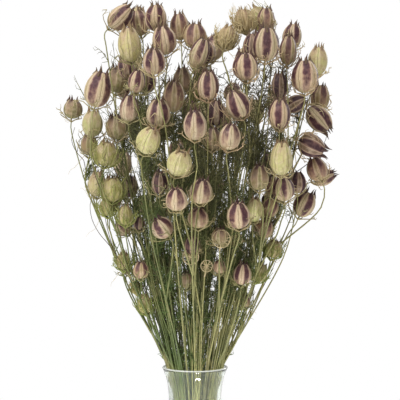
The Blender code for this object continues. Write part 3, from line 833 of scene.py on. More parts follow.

# %% [markdown]
# ### Glass
#
# The vase is clear glass with the faint green-grey of its thickness. A slow noise in the roughness and
# the surface stands for the waviness of blown glass. The very edge of the lip is a painted highlight: a
# pale band there lets little light through, so it shows as a thin pale line.

# %% Glass material
RIM_HEIGHT = 0.1989
RIM_FADE = 0.0006
GLASS_CLEAR = linear(238, 242, 236)
# colour of the painted highlight on the lip's very edge
GLASS_RIM_HIGHLIGHT = linear(240, 242, 236)
GLASS_TINT = linear(186, 196, 184)
GLASS_DENSITY = 62.0
GLASS_BEND = 1.47
CLEAR_SHARE = 0.97
RIM_CLEAR = 0.2
HALF_GLOSS = (0.5, 0.5, 0.5, 1)


def glass_material():
    material, tree, shader = new_material("clear_glass")
    place = tree.nodes.new("ShaderNodeTexCoord")
    split = tree.nodes.new("ShaderNodeSeparateXYZ")
    tree.links.new(place.outputs["Object"], split.inputs[0])
    # painted highlight: the lip's very edge turns pale and lets little light through, so it shows as a thin
    # pale line
    rim_highlight = ramp(tree, split.outputs["Z"], RIM_HEIGHT, RIM_HEIGHT + RIM_FADE)
    depth = tree.nodes.new("ShaderNodeVolumeAbsorption")
    depth.inputs["Color"].default_value = (*GLASS_TINT, 1)
    depth.inputs["Density"].default_value = GLASS_DENSITY
    tree.links.new(depth.outputs[0], tree.nodes["Material Output"].inputs["Volume"])
    put(tree, shader.inputs["Transmission Weight"], ramp(tree, rim_highlight, 0.0, 1.0, CLEAR_SHARE, RIM_CLEAR))
    shader.inputs["IOR"].default_value = GLASS_BEND
    shader.inputs["Specular Tint"].default_value = HALF_GLOSS
    wave = noise(tree, (1, 1, 0.5), 40.0, 1.0)
    surface(tree, shader, blend(tree, rim_highlight, GLASS_CLEAR, GLASS_RIM_HIGHLIGHT), ramp(tree, wave, 0.3, 0.7, 0.0, 0.02))
    raise_from(tree, shader, wave, 0.01, 0.0005)
    return material


glass = glass_material()

# %% [markdown]
# ## One pod
#
# The master pod is a globe whose rings are drawn out to a balloon and whose meridians are pressed in
# along the five lenses. It is made once, with its map, and every pod is a copy of it that is scaled,
# tapered and turned a little of its own.

# %% Master pod
CHAMBERS = 5
MERIDIANS = 50
RINGS = 20
BALLOON = ((0.0, 0.0), (0.012, 0.26), (0.05, 0.50), (0.12, 0.70), (0.21, 0.86), (0.32, 0.96), (0.44, 1.0),
           (0.55, 0.98), (0.65, 0.92), (0.74, 0.83), (0.82, 0.71), (0.885, 0.59), (0.93, 0.48), (0.95, 0.38),
           (0.94, 0.27), (0.90, 0.15), (0.88, 0.0))
RELIEF_OFF = (0.0, 0.12, 0.40, 0.52, 0.64, 0.80, 0.94, 1.0)
RELIEF = (0.962, 0.942, 0.944, 0.975, 1.0, 1.0, 0.975, 0.935)


def master_pod():
    """A pod of radius 1 and height 1 with the map that its pattern is drawn on."""
    bm = bmesh.new()
    bmesh.ops.create_uvsphere(bm, u_segments=MERIDIANS, v_segments=RINGS, radius=1)
    heights, radii = zip(*BALLOON)
    stations = np.linspace(0, 1, len(BALLOON))
    place = {}
    for vert in bm.verts:
        ring = 1 - math.acos(max(-1, min(1, vert.co.z))) / math.pi
        turn = math.atan2(vert.co.y, vert.co.x) % (2 * math.pi)
        chamber = turn / (2 * math.pi) * CHAMBERS + 0.5
        off = abs(chamber % 1 - 0.5) * 2
        body = min(1, 4 * ring * (1 - ring) + 0.25)
        across = np.interp(ring, stations, radii) * (1 + (np.interp(off, RELIEF_OFF, RELIEF) - 1) * body)
        place[vert] = (chamber, ring)
        vert.co = (across * math.cos(turn), across * math.sin(turn), np.interp(ring, stations, heights))
    chart = bm.loops.layers.uv.new("pod")
    for face in bm.faces:
        middle = face.calc_center_median()
        chamber = (math.atan2(middle.y, middle.x) % (2 * math.pi)) / (2 * math.pi) * CHAMBERS + 0.5
        for loop in face.loops:
            across, ring = place[loop.vert]
            if ring in (0.0, 1.0):
                across = chamber
            across += CHAMBERS * round((chamber - across) / CHAMBERS)
            loop[chart].uv = (across - math.floor(chamber), ring)
        face.smooth = True
    return mesh_from(bm, "master_pod")


master = master_pod()
master_points = np.zeros(len(master.vertices) * 3)
master.vertices.foreach_get("co", master_points)
master_points = master_points.reshape(-1, 3)
print(len(master.polygons), "faces in a pod")

# %% [markdown]
# ## The looks of the pods
#
# The bunch mixes ripe striped pods with pale, olive and brown ones. A look gives the ground colour,
# the stripe colour, how strong the stripes are and where their foot is. Each pod strays a little from
# its look.

# %% Looks
LOOKS = {
    "striped": (linear(196, 177, 140), linear(78, 41, 47), 1.0, 0.04),
    "tipped": (linear(196, 179, 142), linear(78, 40, 47), 1.0, 0.24),
    "pale": (linear(190, 184, 124), linear(106, 64, 68), 0.9, 0.62),
    "beige": (linear(168, 148, 106), linear(94, 56, 56), 0.95, 0.20),
    "olive": (linear(128, 122, 72), linear(78, 56, 44), 0.85, 0.36),
    "dark": (linear(112, 90, 70), linear(58, 34, 40), 1.0, -0.25),
    "leafy": (linear(164, 160, 90), linear(104, 84, 54), 0.4, 0.50),
    "fuzzy": (linear(172, 150, 102), linear(122, 90, 70), 0.5, 0.50),
}
STRAY = 0.12
STRAY_TINT = 0.04
TAPERS = (-0.10, 0.12)
HALF_CHAMBER = math.radians(36)
LENS_IN_FRONT = ((57, 478), (57, 458), (41, 440), (87, 432), (68, 402), (68, 366), (71, 342), (93, 375),
                 (-52, 407), (-46, 428), (11, 425), (4, 451), (74, 451))
draw = np.random.default_rng(SEED + 40)


def paint(mesh, name, colours):
    """Puts one colour for each vertex on the mesh."""
    layer = mesh.attributes.new(name, "FLOAT_COLOR", "POINT")
    layer.data.foreach_set("color", np.asarray(colours, np.float32).ravel())


def head_turn(head):
    """The turn and move that take an upright head at the origin to its place."""
    turn = Vector((0, 0, 1)).rotation_difference(Vector(head.axis)).to_matrix().to_4x4()
    return Matrix.Translation(Vector(head.base)) @ turn


def pod_object(head):
    """A pod in its place, scaled, tapered and turned, with its colours."""
    ground, stripe, strength, foot = LOOKS[head.look]
    points = master_points.copy()
    points[:, :2] *= (1 - draw.uniform(*TAPERS) * (points[:, 2:] - 0.45))
    lobe = np.arctan2(points[:, 1], points[:, 0])
    swell = 1 + 0.035 * np.sin(lobe + draw.uniform(0, 6)) + 0.02 * np.sin(3 * lobe + draw.uniform(0, 6))
    points[:, :2] *= swell[:, None]
    points[:, :2] *= head.width / 2
    points[:, 2] *= head.length
    mesh = master.copy()
    mesh.vertices.foreach_set("co", points.ravel())
    mesh.transform(head_turn(head) @ Matrix.Rotation(head.spin, 4, "Z"))
    mesh.transform(Matrix.Scale(MM, 4))
    count = len(mesh.vertices)
    tone = 1 + draw.uniform(-STRAY, STRAY) + draw.uniform(-STRAY_TINT, STRAY_TINT, 3)
    paint(mesh, "ground", np.tile((*(ground * tone), 1), (count, 1)))
    paint(mesh, "stripe", np.tile((*(stripe * tone), strength), (count, 1)))
    layer = mesh.attributes.new("foot", "FLOAT", "POINT")
    layer.data.foreach_set("value", np.full(count, foot + draw.uniform(-STRAY, STRAY), np.float32))
    mesh.materials.append(papery)
    return placed("pod", mesh)


eye = Vector((EYE_ACROSS, -EYE_DISTANCE, EYE_HEIGHT))
for number, head in enumerate(heads):
    towards = head_turn(head).to_3x3().inverted() @ (eye - Vector(head.middle))
    facing = math.atan2(towards.y, towards.x)
    head.spin = facing + HALF_CHAMBER + draw.uniform(-0.28, 0.28)
    if number >= len(front):
        head.spin = draw.uniform(0, 2 * math.pi)
    elif HEADS[number][:2] in LENS_IN_FRONT:
        head.spin = facing + draw.uniform(-0.15, 0.15)

# %% [markdown]
# ## Threads
#
# Stems, horns, bracts and leaves are all round threads, thick or thin. A curve with a bevel makes
# such a thread: each of its points has its own radius. Many threads go into one curve, which is then
# made a mesh and painted from one colour at the bottom to another at the top.

# %% Threads from lines


def threads(lines, material, low, high, heights, roundness=0):
    """A mesh object of round threads from (points, radii), painted by height."""
    data = bpy.data.curves.new("threads", "CURVE")
    data.dimensions = "3D"
    data.bevel_depth = MM
    data.bevel_resolution = roundness
    data.use_fill_caps = True
    for points, radii in lines:
        spline = data.splines.new("POLY")
        spline.points.add(len(points) - 1)
        spline.points.foreach_set("co", np.column_stack([points * MM, np.ones(len(points))]).ravel())
        spline.points.foreach_set("radius", np.asarray(radii, float))
    holder = placed("threads", data)
    mesh = bpy.data.meshes.new_from_object(holder.evaluated_get(bpy.context.evaluated_depsgraph_get()))
    bpy.data.objects.remove(holder)
    bpy.data.curves.remove(data)
    spots = np.zeros(len(mesh.vertices) * 3)
    mesh.vertices.foreach_get("co", spots)
    share = np.clip((spots[2::3] / MM - heights[0]) / (heights[1] - heights[0]), 0, 1)[:, None]
    paint(mesh, "ground", np.hstack([(1 - share) * low + share * high, np.ones((len(share), 1))]))
    mesh.materials.clear()
    mesh.materials.append(material)
    mesh.shade_smooth()
    return placed("threads", mesh)


# %% [markdown]
# ### Horns and bracts
#
# Five horns stand on the crown, one over each chamber, and flare a little. Under the pod a collar of
# thread-like bracts bends out and curls up round it, and each forks near its end. Heads with a leafy
# or fuzzy look have many more bracts, so that the pod shows through a net.

# %% Horn and bract lines
HORN_FOOT = 0.83
HORN_TIPS = (1.03, 1.20)
HORN_RADII = (1.2, 1.45, 1.1, 0.55, 0.14)
HORN_WIDTH = 22.0  # of the pod whose horns have these radii
BRACT_COUNTS = {"leafy": 24, "fuzzy": 40}
PLAIN_COUNT = 6
BRACT_RADII = np.array((0.50, 0.42, 0.36, 0.31, 0.25, 0.12))
BRACT_FORK = np.array((0.36, 0.28, 0.12))
BRACT_SHAKE = 0.9
NET_THIN = 0.8


def on_head(head, turn, radius, height):
    """A point by its turn, radius and height in the head's own upright frame."""
    spot = Vector((radius * math.cos(turn), radius * math.sin(turn), height))
    return np.array(head_turn(head) @ spot)


def horn_lines(head):
    """The five horns on the crown, thick where they leave the pod's shoulder."""
    lines = []
    wide = head.width / 2
    for chamber in range(CHAMBERS):
        turn = head.spin + 2 * math.pi * chamber / CHAMBERS
        tip = draw.uniform(*HORN_TIPS)
        flare = draw.uniform(0.36, 0.66)
        sway = draw.uniform(-0.25, 0.25)
        points = []
        for t in (0, 0.25, 0.5, 0.75, 1):
            across = wide * (0.60 - 0.64 * t + (flare + 0.04) * t * t)
            height = head.length * (HORN_FOOT + (tip - HORN_FOOT) * t)
            points.append(on_head(head, turn + sway * t * t, across, height))
        lines.append((np.array(points), np.array(HORN_RADII) * head.width / HORN_WIDTH))
    return lines


def bract_lines(head):
    """The bracts that cup the head, each with two fine forks."""
    lines = []
    wrapped = head.look in LEAFY
    count = BRACT_COUNTS.get(head.look, PLAIN_COUNT)
    wide, long = head.width / 2, head.length
    for k in range(count):
        turn = head.spin + 2 * math.pi * k / count + draw.uniform(-0.35, 0.35)
        reach = draw.uniform(0.45, 1.18) if wrapped else draw.uniform(0.12, 0.75)
        sway = draw.uniform(-0.6, 0.6)
        clear = draw.uniform(0.3, 2.4) if wrapped else draw.choice((0.6, 1.4, 3.0))
        path = [(0.0, 0.4, -2.4), (0.10, wide * 0.40, -0.7), (0.25, wide * 0.74 + clear * 0.6, long * 0.06),
                (0.5, wide * 0.95 + clear, long * (0.08 + reach * 0.32)),
                (0.75, wide * 0.99 + clear, long * reach * 0.75),
                (1.0, wide * (0.72 if reach > 0.7 else 0.95) + clear * 1.3, long * reach)]
        points = np.array([on_head(head, turn + sway * t * t, r, h) for t, r, h in path])
        if not wrapped:
            points[2:] += draw.normal(0, BRACT_SHAKE, (4, 3))
        lines.append((points, BRACT_RADII * (NET_THIN if wrapped else 1.0)))
        for side in (-1, 1):
            start = points[draw.integers(2, 5)]
            tip = on_head(head, turn + sway * 0.5 + side * draw.uniform(0.12, 0.40),
                          wide + clear + draw.uniform(0, 2.5), long * reach * draw.uniform(0.5, 1.1))
            middle = (start + tip) / 2 + (start - head.middle) * 0.10
            lines.append((np.array([start, middle, tip]), BRACT_FORK))
    return lines


# %% [markdown]
# ### Leaves
#
# Love-in-a-mist is named for its leaves: a haze of green threads, each leaf a rib with side threads
# that fork again. Dried, the haze clings to the stems and fills the bunch between the heads. Leaves
# grow from the stems at random places. Those that would pierce a pod or the glass, or hide a head in
# front, are left out, and so are most of those that would close a gap that light shows through.

# %% Leaf lines
SPRAYS = 2900
SPRAY_HEIGHTS = (160.0, 200.0, 225.0, 260.0, 310.0, 350.0, 400.0, 475.0)
SPRAY_SHARES = (0.0, 0.06, 0.12, 0.25, 0.44, 0.60, 0.84, 1.0)
SPRAY_LENGTHS = (12.0, 32.0)
SIDE_LENGTHS = (4.0, 12.0)
RIM_SHARES = ((200, 0.62), (260, 0.72), (310, 0.80), (350, 0.88), (420, 0.88), (480, 0.84))
WINDOWS = ((-38, 460, 3, 7), (-12, 448, 6, 10), (23, 445, 5, 9), (36, 458, 6, 4), (0, 418, 3, 10),
           (-34, 424, 3, 4), (54, 398, 4, 9), (64, 432, 3, 3), (79, 416, 5, 3), (83, 390, 5, 6),
           (73, 388, 4, 4), (81, 365, 3, 9), (39, 355, 4, 5), (54, 338, 3, 5), (-54, 424, 3, 5),
           (-66, 411, 7, 8), (-53, 352, 8, 19), (-54, 301, 4, 11), (-62, 308, 5, 13), (-72, 304, 6, 16),
           (-22, 376, 3, 5), (-9, 380, 4, 3), (-45, 297, 3, 10), (-40, 263, 3, 4), (-33, 254, 2, 6),
           (-7, 254, 3, 6), (-27, 235, 2, 5), (-11, 224, 2, 5), (20, 222, 2, 16), (25, 232, 2, 4),
           (-70, 345, 5, 8), (60, 290, 5, 8), (70, 305, 5, 8))
# the leaves' three tints: their own colour, a darker copy that is painted shade, and a lighter copy that is
# painted light
TINTS = 3
RIB_RADIUS = 0.36
SIDE_RADII = (0.25, 0.20, 0.08)
IN_WINDOW_SHARE = 0.15
head_spots, head_radii = map(np.array, zip(*[ball for head in heads for ball in head.balls()[:3]]))
eye_spot = np.array(eye)


def clear_of_heads(points):
    """True if no point lies inside a head."""
    away = np.linalg.norm(points[:, None] - head_spots[None], axis=2)
    return bool((away > head_radii * 0.97 + 0.3).all())


def hides_head(point):
    """True if the point lies between the eye and a head."""
    sight = unit(point - eye_spot)
    reach = (head_spots - eye_spot) @ sight
    off_line = np.linalg.norm(head_spots - eye_spot - reach[:, None] * sight, axis=1)
    return bool(((off_line < head_radii) & (reach > np.linalg.norm(point - eye_spot))
                 & (head_spots[:, 1] < 0)).any())


def in_glass(points):
    """True if every point that is below the lip lies inside the wall of the vase."""
    room = inner_radius(points[:, 2] - 3) - 0.9
    return bool(((points[:, 2] > LIP_HEIGHT + 4) | (np.hypot(points[:, 0], points[:, 1]) < room)).all())


def in_window(points):
    """True if a point shows inside one of the gaps that the bunch can be seen through."""
    near = EYE_DISTANCE / (EYE_DISTANCE + points[:, 1])
    across = EYE_ACROSS + (points[:, 0] - EYE_ACROSS) * near
    height = EYE_HEIGHT + (points[:, 2] - EYE_HEIGHT) * near
    x, z, wide, high = np.array(WINDOWS).T[:, :, None]
    return bool((((across - x) / wide) ** 2 + ((height - z) / high) ** 2 < 1).any())


def leaf_spray(root, knee, tip, girth, count):
    """A leaf's rib and its side threads."""
    rib = smooth_line(np.array([root, knee, tip]), 7.0)
    lines = [(rib, np.linspace(girth, 0.12, len(rib)))]
    along = unit(tip - root)
    side = unit(np.cross(along, draw.normal(size=3)))
    for k in range(count):
        start = rib[int((0.15 + 0.8 * k / count) * (len(rib) - 1))]
        turn = Matrix.Rotation(draw.uniform(0, 2 * math.pi), 3, Vector(along))
        out = np.array(turn @ Vector(side))
        length = draw.uniform(*SIDE_LENGTHS)
        lean = draw.uniform(0.1, 0.9)
        bend = start + (out * 0.45 + along * 0.25) * length
        ends = np.array([bend, start + (out * (1 - lean) + along * lean) * length])
        free = clear_of_heads(ends) and in_glass(ends)
        if free and (not in_window(ends) or draw.uniform() < IN_WINDOW_SHARE):
            lines.append((np.array([start, *ends]), np.array(SIDE_RADII)))
    return lines


leaf_threads = {(number, tint): [] for number in range(len(plants)) for tint in range(TINTS)}
for route, (root, knee, tip) in leaves:
    leaf_threads[route.plant, 0] += leaf_spray(root, knee, tip, LEAF_RADIUS, 5)
grown = 0
for _ in range(SPRAYS * 9):
    number = draw.integers(len(routes))
    line = stem_lines[number]
    z = float(np.interp(draw.uniform(), SPRAY_SHARES, SPRAY_HEIGHTS))
    if grown == SPRAYS or not line[0][2] + 2 < z < min(line[-3:, 2]) - 4:
        continue
    root = point_at(line, z)
    out = outward(draw.uniform(0, 2 * math.pi))
    length = draw.uniform(*SPRAY_LENGTHS)
    up = unit(point_at(line, z + 8) - root)
    knee = root + (0.22 * out + 0.42 * up) * length
    tip = root + (draw.uniform(0.10, 0.85) * out + draw.uniform(0.6, 1.0) * up) * length
    points = np.linspace(knee, tip, 5)
    if np.hypot(*tip[:2]) > bunch_radius(tip[2]) * np.interp(tip[2], *zip(*RIM_SHARES)):
        continue
    if in_window(points) or not in_glass(points) or not clear_of_heads(points):
        continue
    if not hides_head(tip) and not hides_head(knee):
        plant = routes[number].plant
        leaf_threads[plant, draw.integers(TINTS)] += leaf_spray(root, knee, tip, RIB_RADIUS, 7)
        grown += 1
print(grown, "more leaves")

# %% [markdown]
# Between the stems with pods stand thin shoots that never set one. They leave a stem above the lip,
# follow the fan, cross a neighbour or two and end in a wisp. Stouter ones leave a main stem low in
# the vase, rise along the inside of its neck and fan out over the lip.

# %% Shoot lines
SHOOTS = 190
SHOOT_HEIGHTS = (196.0, 330.0)
SHOOT_LENGTHS = (50.0, 150.0)
SHOOT_RADII = (0.60, 0.28)
SHOWING_SHARE = 0.12
NECK_SHOOTS = 56
NECK_RADII = (0.85, 0.28)
NECK_FOOT = 128.0
NECK_TOPS = (236.0, 300.0)
IN_THE_NECK = ((16.6, 152), (17.1, 178), (22.4, 199))


def lists_by_plant():
    return {number: [] for number in range(len(plants))}


shoots = lists_by_plant()
grown = 0
for _ in range(SHOOTS * 30):
    number = draw.integers(len(routes))
    line = stem_lines[number]
    z = draw.uniform(*SHOOT_HEIGHTS)
    length = draw.uniform(*SHOOT_LENGTHS)
    if grown == SHOOTS or not line[0][2] + 2 < z < line[-1][2] - 6:
        continue
    root = point_at(line, z)
    up = unit(root * (1, 1, 0) / 160 + (0, 0, 1) + draw.normal(0, 0.13, 3))
    bow = draw.normal(0, 0.05, 3) * (1, 1, 0)
    steps = np.linspace(0, 1, 7)[:, None]
    path = root + (up * steps + bow * np.sin(steps * math.pi)) * length
    inside = (np.hypot(path[:, 0], path[:, 1]) < bunch_radius(path[:, 2]) * 0.97).all()
    if inside and clear_of_heads(path[1:]):
        if not any(hides_head(point) for point in path[2:]) or draw.uniform() < SHOWING_SHARE:
            curve = smooth_line(path, 12.0)
            plant = routes[number].plant
            shoots[plant].append((curve, np.linspace(*SHOOT_RADII, len(curve))))
            leaf_threads[plant, 0] += leaf_spray(path[-2], path[-1], path[-1] + up * 6, 0.26, 4)
            grown += 1
feet = {k: point_at(stem_lines[k], NECK_FOOT) for k, route in enumerate(routes) if route.main is None}
for turn in draw.uniform(0, 2 * math.pi, NECK_SHOOTS):
    out = outward(turn)
    number = max(feet, key=lambda k: feet[k] @ out)
    top = draw.uniform(*NECK_TOPS)
    reach = draw.uniform(0.62, 0.84) * bunch_radius(top)
    lip_radius, lip = IN_THE_NECK[-1]
    bends = [*IN_THE_NECK, ((lip_radius + reach) / 2, (lip + top) / 2 + 4), (reach, top)]
    path = np.array([feet[number], *[out * radius + (0, 0, z) for radius, z in bends]])
    if clear_of_heads(path[3:]):
        curve = smooth_line(path, 9.0)
        shoots[routes[number].plant].append((curve, np.linspace(*NECK_RADII, len(curve))))
print(grown, "shoots")

# %% [markdown]
# A few heads have shed their pod. What is left is a ring of bracts with its spokes, like a small wheel.
# Dead branchlets stray at the sides of the bunch and in its gaps, each placed through a few points
# from its tip to its stem. Fine hairs curl out from under the heads.

# %% Rings, branchlets and hairs
WHEELS = ((20, 304, 6.6), (32, 303, 4.6), (-3, 290, 6.0), (9, 283, 4.4))
SPOKES = 11
WHEEL_DROP = 9.0  # from a ring's hub to the stalk's foot
RING_RADIUS = 0.34
SPOKE_RADII = np.array((0.42, 0.32, 0.22))
STALK_RADII = np.array((0.6, 0.5, 0.5))
HAIRS = 90
HAIR_LENGTHS = (8.0, 24.0)
HAIR_RADII = (0.22, 0.08)
STRAY_RADIUS = 0.36
STRAYS = (((-96, 391), (-98, 381), (-92, 370), (-86, 365), (-83, 358), (-78, 346)),
          ((-80, 335), (-82, 328), (-81, 318), (-76, 307), (-68, 298), (-60, 286), (-50, 268)),
          ((-57, 374), (-55, 362), (-53, 354), (-46, 347), (-41, 340)),
          ((-62, 356), (-59, 342), (-54, 336), (-48, 331), (-42, 322)),
          ((-73, 327), (-70, 312), (-65, 298), (-60, 284)),
          ((46, 255), (44, 243), (39, 230), (33, 217), (25, 202)),
          ((106, 388), (109, 381), (107, 373), (103, 364), (92, 352)),
          ((74, 300), (66, 290), (60, 276), (50, 258)),
          ((-88, 372), (-80, 366), (-76, 356), (-70, 340)),
          ((12, 452), (9, 444), (10, 436), (6, 424), (7, 410)),
          ((-8, 455), (-11, 446), (-9, 436), (-12, 424)))


def points_at(z):
    """Each stem's point at a height, or one far away where the stem doesn't pass it."""
    return [point_at(line, z) if line[0][2] < z < line[-1][2] else np.array([999.0] * 3)
            for line in stem_lines]


def stray_line(spots, girth):
    """A dead branchlet through (x, z) spots, last spot on the nearest stem, and that stem's plant."""
    x, z = spots[-1]
    roots = points_at(z)
    number = int(np.argmin([math.hypot(root[0] - x, 0.3 * (root[1] + 20)) for root in roots]))
    root = roots[number]
    path = np.array([(a + (root[0] - x) * k / (len(spots) - 1), root[1], b)
                     for k, (a, b) in enumerate(spots)])
    path[-1] = root
    path[:-1] += draw.normal(0, 0.5, (len(spots) - 1, 3))
    curve = smooth_line(path, 3.0)
    return [(curve, np.linspace(girth * 0.5, girth, len(curve)))], routes[number].plant


def wheel_lines(x, z, radius):
    """A ring of bracts facing the eye, on a stalk from the nearest stem, and that stem's plant."""
    ends = points_at(z - WHEEL_DROP)
    number = int(np.argmin([math.hypot(end[0] - x, 0.25 * (end[1] + 34)) for end in ends]))
    hub = np.array([x, ends[number][1] - 5, z])
    away = unit(eye_spot - hub)
    side = unit(np.cross(away, (0, 0, 1)))
    top = np.cross(side, away)
    ring = [hub + away * 2 + radius * (side * math.cos(a) + top * math.sin(a))
            for a in np.linspace(0, 2 * math.pi, 19)]
    stalk_bend = (ends[number] + hub) / 2 - (0, 1.5, 1)
    lines = [(np.array([ends[number], stalk_bend, hub]), STALK_RADII),
             (np.array(ring), np.full(len(ring), RING_RADIUS))]
    for k in range(SPOKES):
        a = 2 * math.pi * k / SPOKES + draw.uniform(-0.2, 0.2)
        out = side * math.cos(a) + top * math.sin(a)
        bend = hub + away * 0.4 + out * radius * 0.55
        lines.append((np.array([hub, bend, hub + away * 2 + out * radius]), SPOKE_RADII))
    return lines, routes[number].plant


wheels = lists_by_plant()
strays = lists_by_plant()
for spots in STRAYS:
    lines, plant = stray_line(spots, STRAY_RADIUS)
    strays[plant] += lines
for row in WHEELS:
    lines, plant = wheel_lines(*row)
    wheels[plant] += lines
for _ in range(HAIRS):
    route = routes[draw.integers(len(routes))]
    head = route.head
    out = unit(head.middle * (1, 1, 0) + draw.normal(0, 30, 3) * (1, 1, 0.3))
    length = draw.uniform(*HAIR_LENGTHS)
    across = unit(np.cross(out, (0, 0, 1)))
    drop = draw.uniform(-0.9, 0.5)
    start = head.base - head.axis * 1.5
    t = np.linspace(0, 1, 9)[:, None]
    curl = across * 0.12 * np.sin(t * 7) + np.array([0, 0, 0.10]) * np.sin(t * 9 + drop)
    path = start + (out * 0.8 * t + np.array([0, 0, drop]) * t * t + curl) * length
    if clear_of_heads(path[2:]):
        wheels[route.plant].append((path, np.linspace(*HAIR_RADII, len(path))))


# %% [markdown]
# ## The plants
#
# Each plant is put together from its pods, horns, bracts, stems and leaves, joined into one mesh that
# stands for its node. Plants on the left tend to be green, and those on the right have dried to straw.

# %% Plants
STEM_GREEN = linear(82, 100, 46)
STEM_STRAW = linear(168, 160, 102)
LEAF_GREEN = linear(78, 106, 48)
LEAF_OLIVE = linear(102, 100, 54)
LEAF_BROWN = linear(74, 58, 42)
NET_GREEN = linear(130, 140, 70)
NET_STRAW = linear(170, 160, 100)
BRACT_GREEN = linear(124, 128, 74)
BRACT_STRAW = linear(214, 194, 150)
BRACT_PINK = linear(204, 168, 138)
PALE_HORNED = ("pale", "leafy", "fuzzy")
HORN_PLUM = linear(80, 50, 50)
HORN_STRAW = linear(132, 108, 76)
THINNED = (0.78, 0.46)  # of the solid stems' radii, at the foot and under the head
DRYNESS = 0.40
DRY_ACROSS = 190.0
DRY_STRAY = 0.32
SHADED_SHOOTS = 0.35


def joined(objects, name):
    """Joins the objects into the first and names it."""
    with bpy.context.temp_override(active_object=objects[0], selected_editable_objects=objects,
                                   selected_objects=objects):
        bpy.ops.object.join()
    objects[0].name = name
    objects[0].data.name = name
    return objects[0]


def plant_piece(number):
    """Everything that grows on one plant, as one object."""
    mine = [k for k, route in enumerate(routes) if route.plant == number]
    stems, horns, pale_horns, bracts, nets, wisps = [], [], [], [], [], []
    parts = [pod_object(routes[k].head) for k in mine]
    for k in mine:
        head = routes[k].head
        line = smooth_line(stem_lines[k], 7.0)
        thick, thin = MAIN_RADII if routes[k].main is None else FORK_RADII
        radii = np.interp(np.arange(len(line)) / (len(line) - 1), (0, 1),
                          (thick * THINNED[0], thin * THINNED[1]))
        stems.append((line, radii))
        (pale_horns if head.look in PALE_HORNED else horns).extend(horn_lines(head))
        {"leafy": nets, "fuzzy": wisps}.get(head.look, bracts).extend(bract_lines(head))
    across = routes[mine[0]].head.middle[0]
    dryness = np.clip(DRYNESS + across / DRY_ACROSS + draw.uniform(-DRY_STRAY, DRY_STRAY), 0, 1)
    green = STEM_GREEN * (1 - dryness) + STEM_STRAW * dryness
    straw = green * 0.45 + STEM_STRAW * 0.55
    pink = draw.uniform(0, 1)
    tint = BRACT_STRAW * (1 - pink) + BRACT_PINK * pink
    tint = tint * (0.4 + 0.6 * dryness) + BRACT_GREEN * (0.6 - 0.6 * dryness)
    shade = SHADED_SHOOTS if number % 3 == 0 else 1.0
    leaf = LEAF_GREEN * (1 - dryness * 0.5) + LEAF_OLIVE * dryness * 0.5
    dusk = LEAF_OLIVE * (1 - dryness) + LEAF_BROWN * dryness
    # painted shade and light: beside the plain leaf colour, one copy darkened to 0.55 and one lightened to
    # 1.3; each spray takes one at random
    leaf_tints_with_painted_shade_and_light = ((leaf, dusk), (leaf * 0.55, LEAF_BROWN * 0.8), (leaf * 1.3, LEAF_BROWN * 1.2))
    rows = [
        (stems, stalk, green * 0.9, straw, (200, 430), 1),
        (horns, thread, HORN_PLUM * 0.8, HORN_STRAW, (330, 900)),
        (pale_horns, thread, HORN_STRAW * 0.8, HORN_STRAW, (260, 500)),
        (bracts, thread, BRACT_GREEN, tint, (240, 380)),
        (nets, thread, NET_GREEN, NET_STRAW, (260, 500)),
        (wisps, thread, NET_STRAW, BRACT_STRAW, (300, 500)),
        (wheels[number], thread, BRACT_STRAW * 0.8, BRACT_STRAW, (240, 400)),
        (strays[number], thread, LEAF_BROWN, LEAF_BROWN * 0.8, (200, 480)),
        (shoots[number], stalk, green * shade, straw * shade, (200, 400)),
        *[(leaf_threads[number, k], thread, *leaf_tints_with_painted_shade_and_light[k], (240, 460)) for k in range(TINTS)],
    ]
    parts += [threads(*row) for row in rows if row[0]]
    return joined(parts, f"plant_{number + 1:02d}")


triangles = 0
for number in range(len(plants)):
    piece = plant_piece(number)
    node = f"stem_{number + 1:02d}"
    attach(piece, "root")
    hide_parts(node)
    triangles += sum(len(face.vertices) - 2 for face in piece.data.polygons)
print(triangles, "triangles in the plants")

# %% [markdown]
# ## The vase
#
# The vase is blown, so its lip is round and its wall even. A line is drawn up the outside, over the
# lip, down the inside and across the floor, and spun once round. The glass casts no shadow, so that
# the lamps light the stems inside it.

# %% Vase
VASE_STEPS = 144
FINE_ABOVE = 176.0
COARSE_STEP = 5
LIP_ROUND = ((0.0, -0.9), (-0.35, -0.25), (-0.9, 0.0), (-1.7, 0.0), (-2.25, -0.3), (-2.6, -1.0))
WELL = ((-1.2, 2.6), (-3.4, 0.8), (-7, 0))  # from the inside's foot and the floor
BASE_EDGE = ((-0.6, 0), (0.6, 0.3), (2.0, 1.1))  # from the base's radius
MERGE = 0.00001


